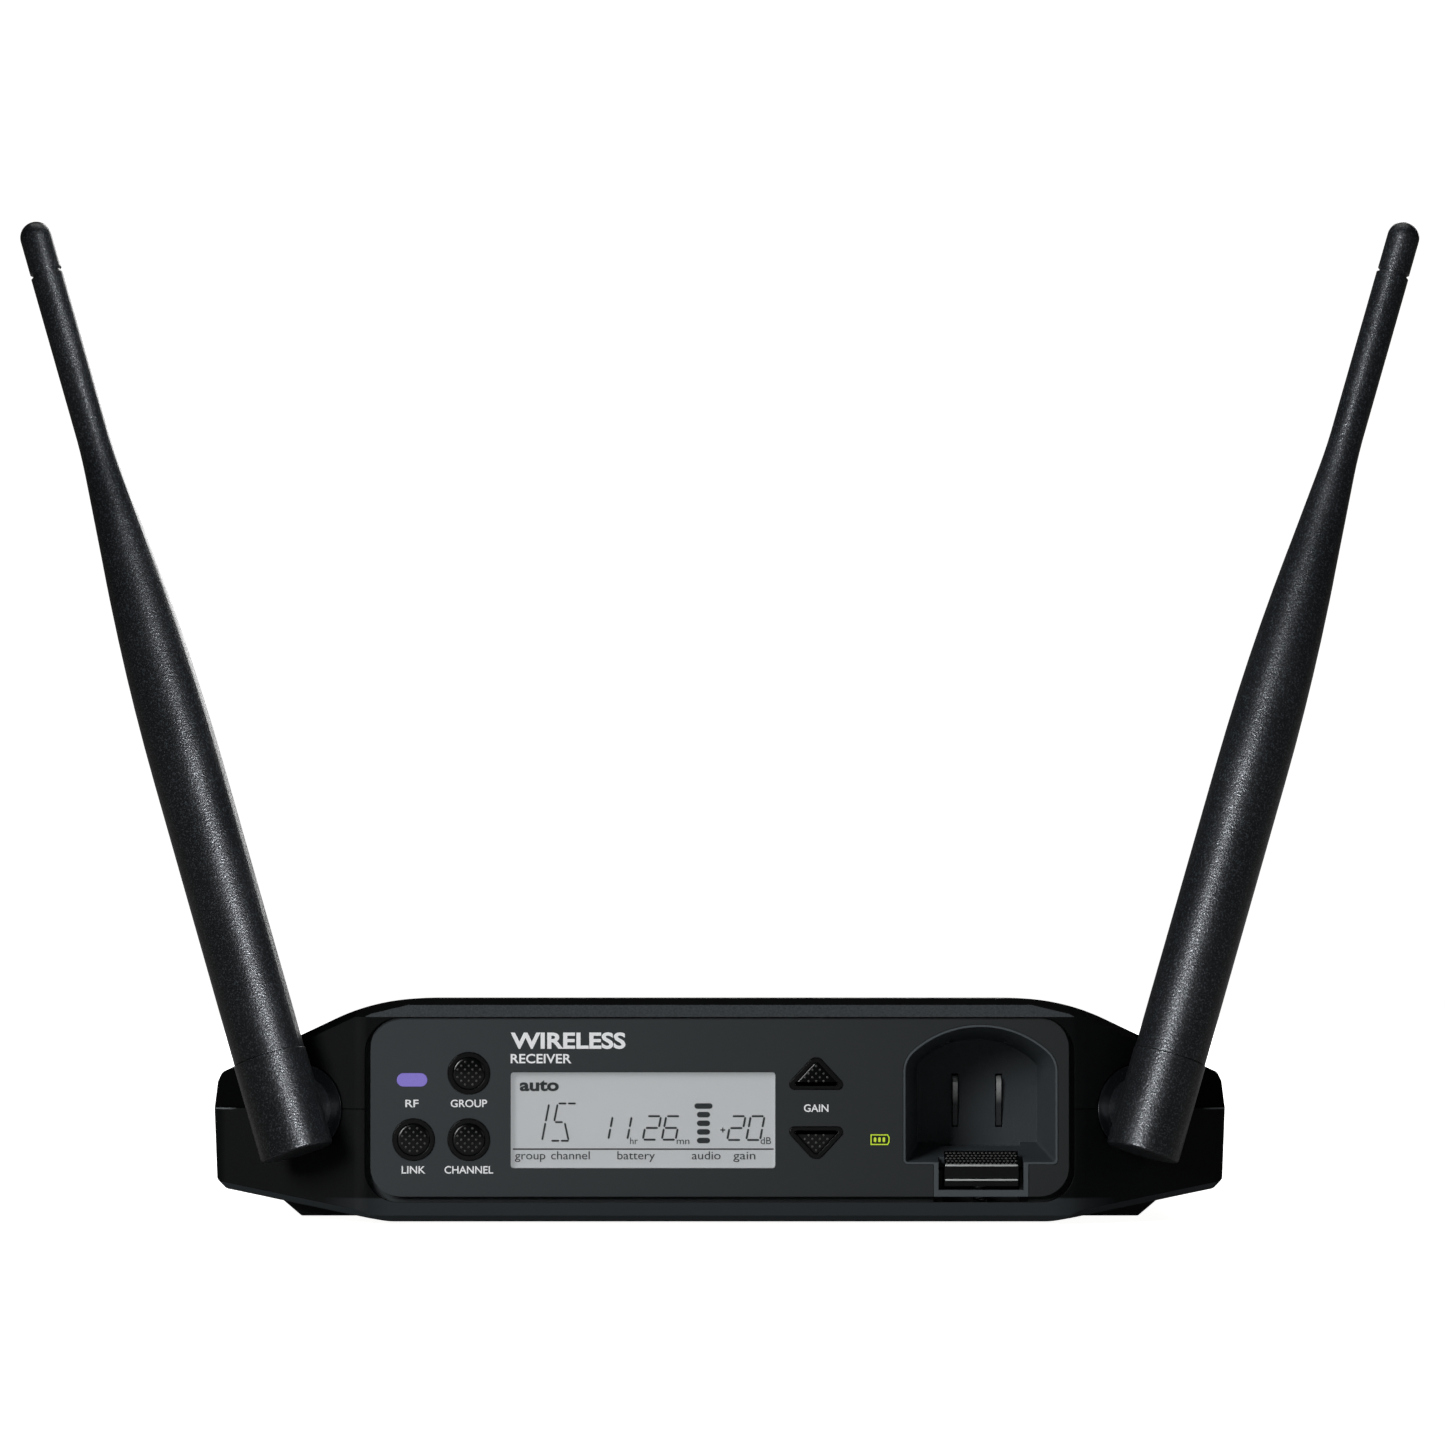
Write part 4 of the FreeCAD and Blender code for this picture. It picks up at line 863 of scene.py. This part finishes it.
def dress_frame(gloss, spring):
    """Give every CAD node its material."""
    looks = {
        shell_material(): ["top_shell", "bottom_shell"],
        panel_material(): ["front_panel"],
        bay_material(): ["bay_cup"],
        gloss: BUTTONS + ["latch", "left_swivel", "right_swivel"],
        antenna_material(): [side + part for side in ("left_", "right_")
                             for part in ("base_inner", "base_outer", "whip", "cap")],
        plain_moulded("black_moulding", "121415", 0.5, 0.3): [
            "base_plate", "rear_panel", "contact_block", "latch_guide", "jack_socket",
            "dc_jack", "cord_hook", "board_chips", "left_coax", "right_coax",
            "tact_switches"],
        metal("nickel_plate", "B9B6AE", 0.22): ["xlr_pins", "jack_nut", "volume_nut",
                                                "usb_port", "shield_cans"],
        metal("zinc_steel", "A7A9AB", 0.32): ["case_screws", "board_screws", "panel_screws",
                                              "volume_pot", "volume_shaft"],
        metal("brass", "B98D45", 0.3): ["left_radiator", "right_radiator"],
        board_material(): ["front_board", "main_board"],
        plain_moulded("knob_rubber", "17191A", 0.6, 0.35, 0.04): ["volume_knob"],
        plain_moulded("foot_rubber", "1B1C1D", 0.8, 0.4, 0.05): ["rubber_feet"],
        socket_material(): ["xlr_shell"],
        contact_material(): ["contact_left", "contact_right"],
        spring: ["latch_spring"],
        plain_moulded("white_moulding", "D8D9D4", 0.45, 0.3, 0.01): [
            "lcd_backlight", "board_connectors"],
        plain_moulded("lcd_glass", "8E9496", 0.2, 0.5, 0.004): ["lcd_module"],
        plain_moulded("ribbon", "8A6A3A", 0.4, 0.4, 0.01): ["flex_cable"],
        plain_moulded("blank_label", "C9CBCB", 0.45, 0.3, 0.006): ["label_plate"],
        clear_material(): ["lcd_window"],
        lamp_material("rf_lamp", "7F72C0", 0.45): ["rf_light_pipe"],
        plain_moulded("battery_lens", "2A3326", 0.3, 0.3, 0.006): ["battery_lens"],
    }
    for material, names in looks.items():
        for name in names:
            dress(name, material)


# ---------------------------------------------------------------- studio
# The floor and the lamps are measured in metres.

def studio_floor():
    """A pale floor that sweeps up into the backdrop behind."""
    radius, back, near, side, top, steps = 1.2, 2.4, -4.0, 5.0, 5.0, 12
    profile = [(near, 0.0), (back, 0.0)]
    for step in range(1, steps + 1):
        angle = math.radians(90 * step / steps)
        profile.append((back + radius * math.sin(angle), radius * (1 - math.cos(angle))))
    profile.append((back + radius, top))
    bm = bmesh.new()
    left, right = [[bm.verts.new((x, y, z)) for y, z in profile] for x in (-side, side)]
    for i in range(len(profile) - 1):
        bm.faces.new((left[i], right[i], right[i + 1], left[i + 1]))
    mesh = bpy.data.meshes.new("studio_floor")
    bm.to_mesh(mesh)
    bm.free()
    mesh.polygons.foreach_set("use_smooth", [True] * len(mesh.polygons))
    floor = link("studio_floor", mesh)
    graph = Graph("floor_paper")
    paper = graph.mix(graph.noise(3, 3), rgb("FAFAF9"), rgb("FDFDFC"))
    seen = graph.add("LightPath").outputs["Is Camera Ray"]
    tone = graph.mix(seen, rgb("8C8C8C"), paper)
    glow = graph.scaled(seen, 0, 1, FLOOR_GLOW, 1.0)
    mesh.materials.append(graph.finish(colour=tone, roughness=0.9, specular=0.05, glow=paper,
                                       glow_strength=glow))


def turn_towards(holder, place, aim):
    holder.location = place
    direction = Vector(aim) - Vector(place)
    holder.rotation_euler = direction.to_track_quat("-Z", "Y").to_euler()


def area_light(name, place, aim, width, height, power, colour="FFFFFF"):
    lamp = bpy.data.lights.new(name, "AREA")
    lamp.shape = "RECTANGLE"
    lamp.size, lamp.size_y = width, height
    lamp.energy = power
    lamp.color = rgb(colour)[:3]
    holder = link(name, lamp)
    turn_towards(holder, place, aim)
    holder.visible_camera = False
    return holder


def studio_world():
    """White where the camera sees it, dim to everything else."""
    world = bpy.data.worlds.new("studio")
    bpy.context.scene.world = world
    world.use_nodes = True
    tree = world.node_tree
    sky = tree.nodes["Background"].inputs
    sky["Color"].default_value = rgb("F4F6F7")
    seen = tree.nodes.new("ShaderNodeLightPath").outputs["Is Camera Ray"]
    strength = tree.nodes.new("ShaderNodeMapRange")
    strength.inputs[3].default_value, strength.inputs[4].default_value = WORLD_GLOW, 1.0
    tree.links.new(seen, strength.inputs[0])
    tree.links.new(strength.outputs[0], sky["Strength"])


def light_only(lamp, names, state="INCLUDE"):
    """Let a lamp fall only on the named nodes, or on everything but them."""
    group = bpy.data.collections.new(lamp.name + "_set")
    for name in names:
        group.objects.link(NODES[name])
    for member in group.collection_objects:
        member.light_linking.link_state = state
    lamp.light_linking.receiver_collection = group


def studio_lights():
    studio_world()
    parts = ("_base_inner", "_base_outer", "_whip", "_cap", "_swivel")
    antennas = {side: [name + part for part in parts]
                for side, name in ((-1, "left"), (1, "right"))}
    body = (0, 0, 0.03)
    area_light("overhead", (0.0, 0.15, 1.2), (0, 0, 0), 1.0, 0.7, OVERHEAD)
    key = area_light("left_key", (-0.9, -1.3, 0.6), body, 0.6, 0.6, KEY)
    fill = area_light("right_fill", (1.2, -1.0, 0.5), body, 0.6, 0.6, FILL)
    area_light("rear_soft", (0.5, 1.5, 0.8), body, 0.9, 0.9, REAR)
    for lamp in (key, fill):
        light_only(lamp, antennas[-1] + antennas[1], "EXCLUDE")
    for side in (-1, 1):
        strip = area_light("antenna_strip", (-side * 0.21, -0.62, 0.13),
                           (side * 0.11, -0.05, 0.12), 0.09, 0.42, STRIP, "F4F8FF")
        strip.data.spread = math.radians(STRIP_SPREAD)
        light_only(strip, antennas[side])


def camera():
    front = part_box("top_shell")[0].y
    data = bpy.data.cameras.new("camera")
    data.sensor_width = SENSOR
    data.lens = SENSOR * CAMERA_DISTANCE / VIEW_WIDTH
    data.clip_start, data.clip_end = CLIP_NEAR, CLIP_FAR
    holder = link("camera", data)
    turn_towards(holder, (AIM_X * MM, front - CAMERA_DISTANCE * MM, CAMERA_HEIGHT * MM),
                 (AIM_X * MM, front, AIM_HEIGHT * MM))
    bpy.context.scene.camera = holder


gloss_black = gloss_material()
spring_steel = metal("spring_steel", "9A9C9E", 0.3, (1, 1, 8))
# Painted highlight: the dots are pale grey, as if the raised dots catch the light.
dots = plain_moulded("button_dots_painted_highlight", "50524F", 0.3, grain=0.2, relief=0.004, wear=0.2,
                     round_over=0.05)
dress_frame(gloss_black, spring_steel)
for button in BUTTONS:
    button_pad(button, gloss_black, dots)
front_labels()
display()
battery_icon()
# The knurl pips take the dots' pale grey, a painted highlight.
latch_grip(dots)
latch_coil(spring_steel)
studio_floor()
studio_lights()
camera()
bpy.context.scene.view_settings.view_transform = "Standard"
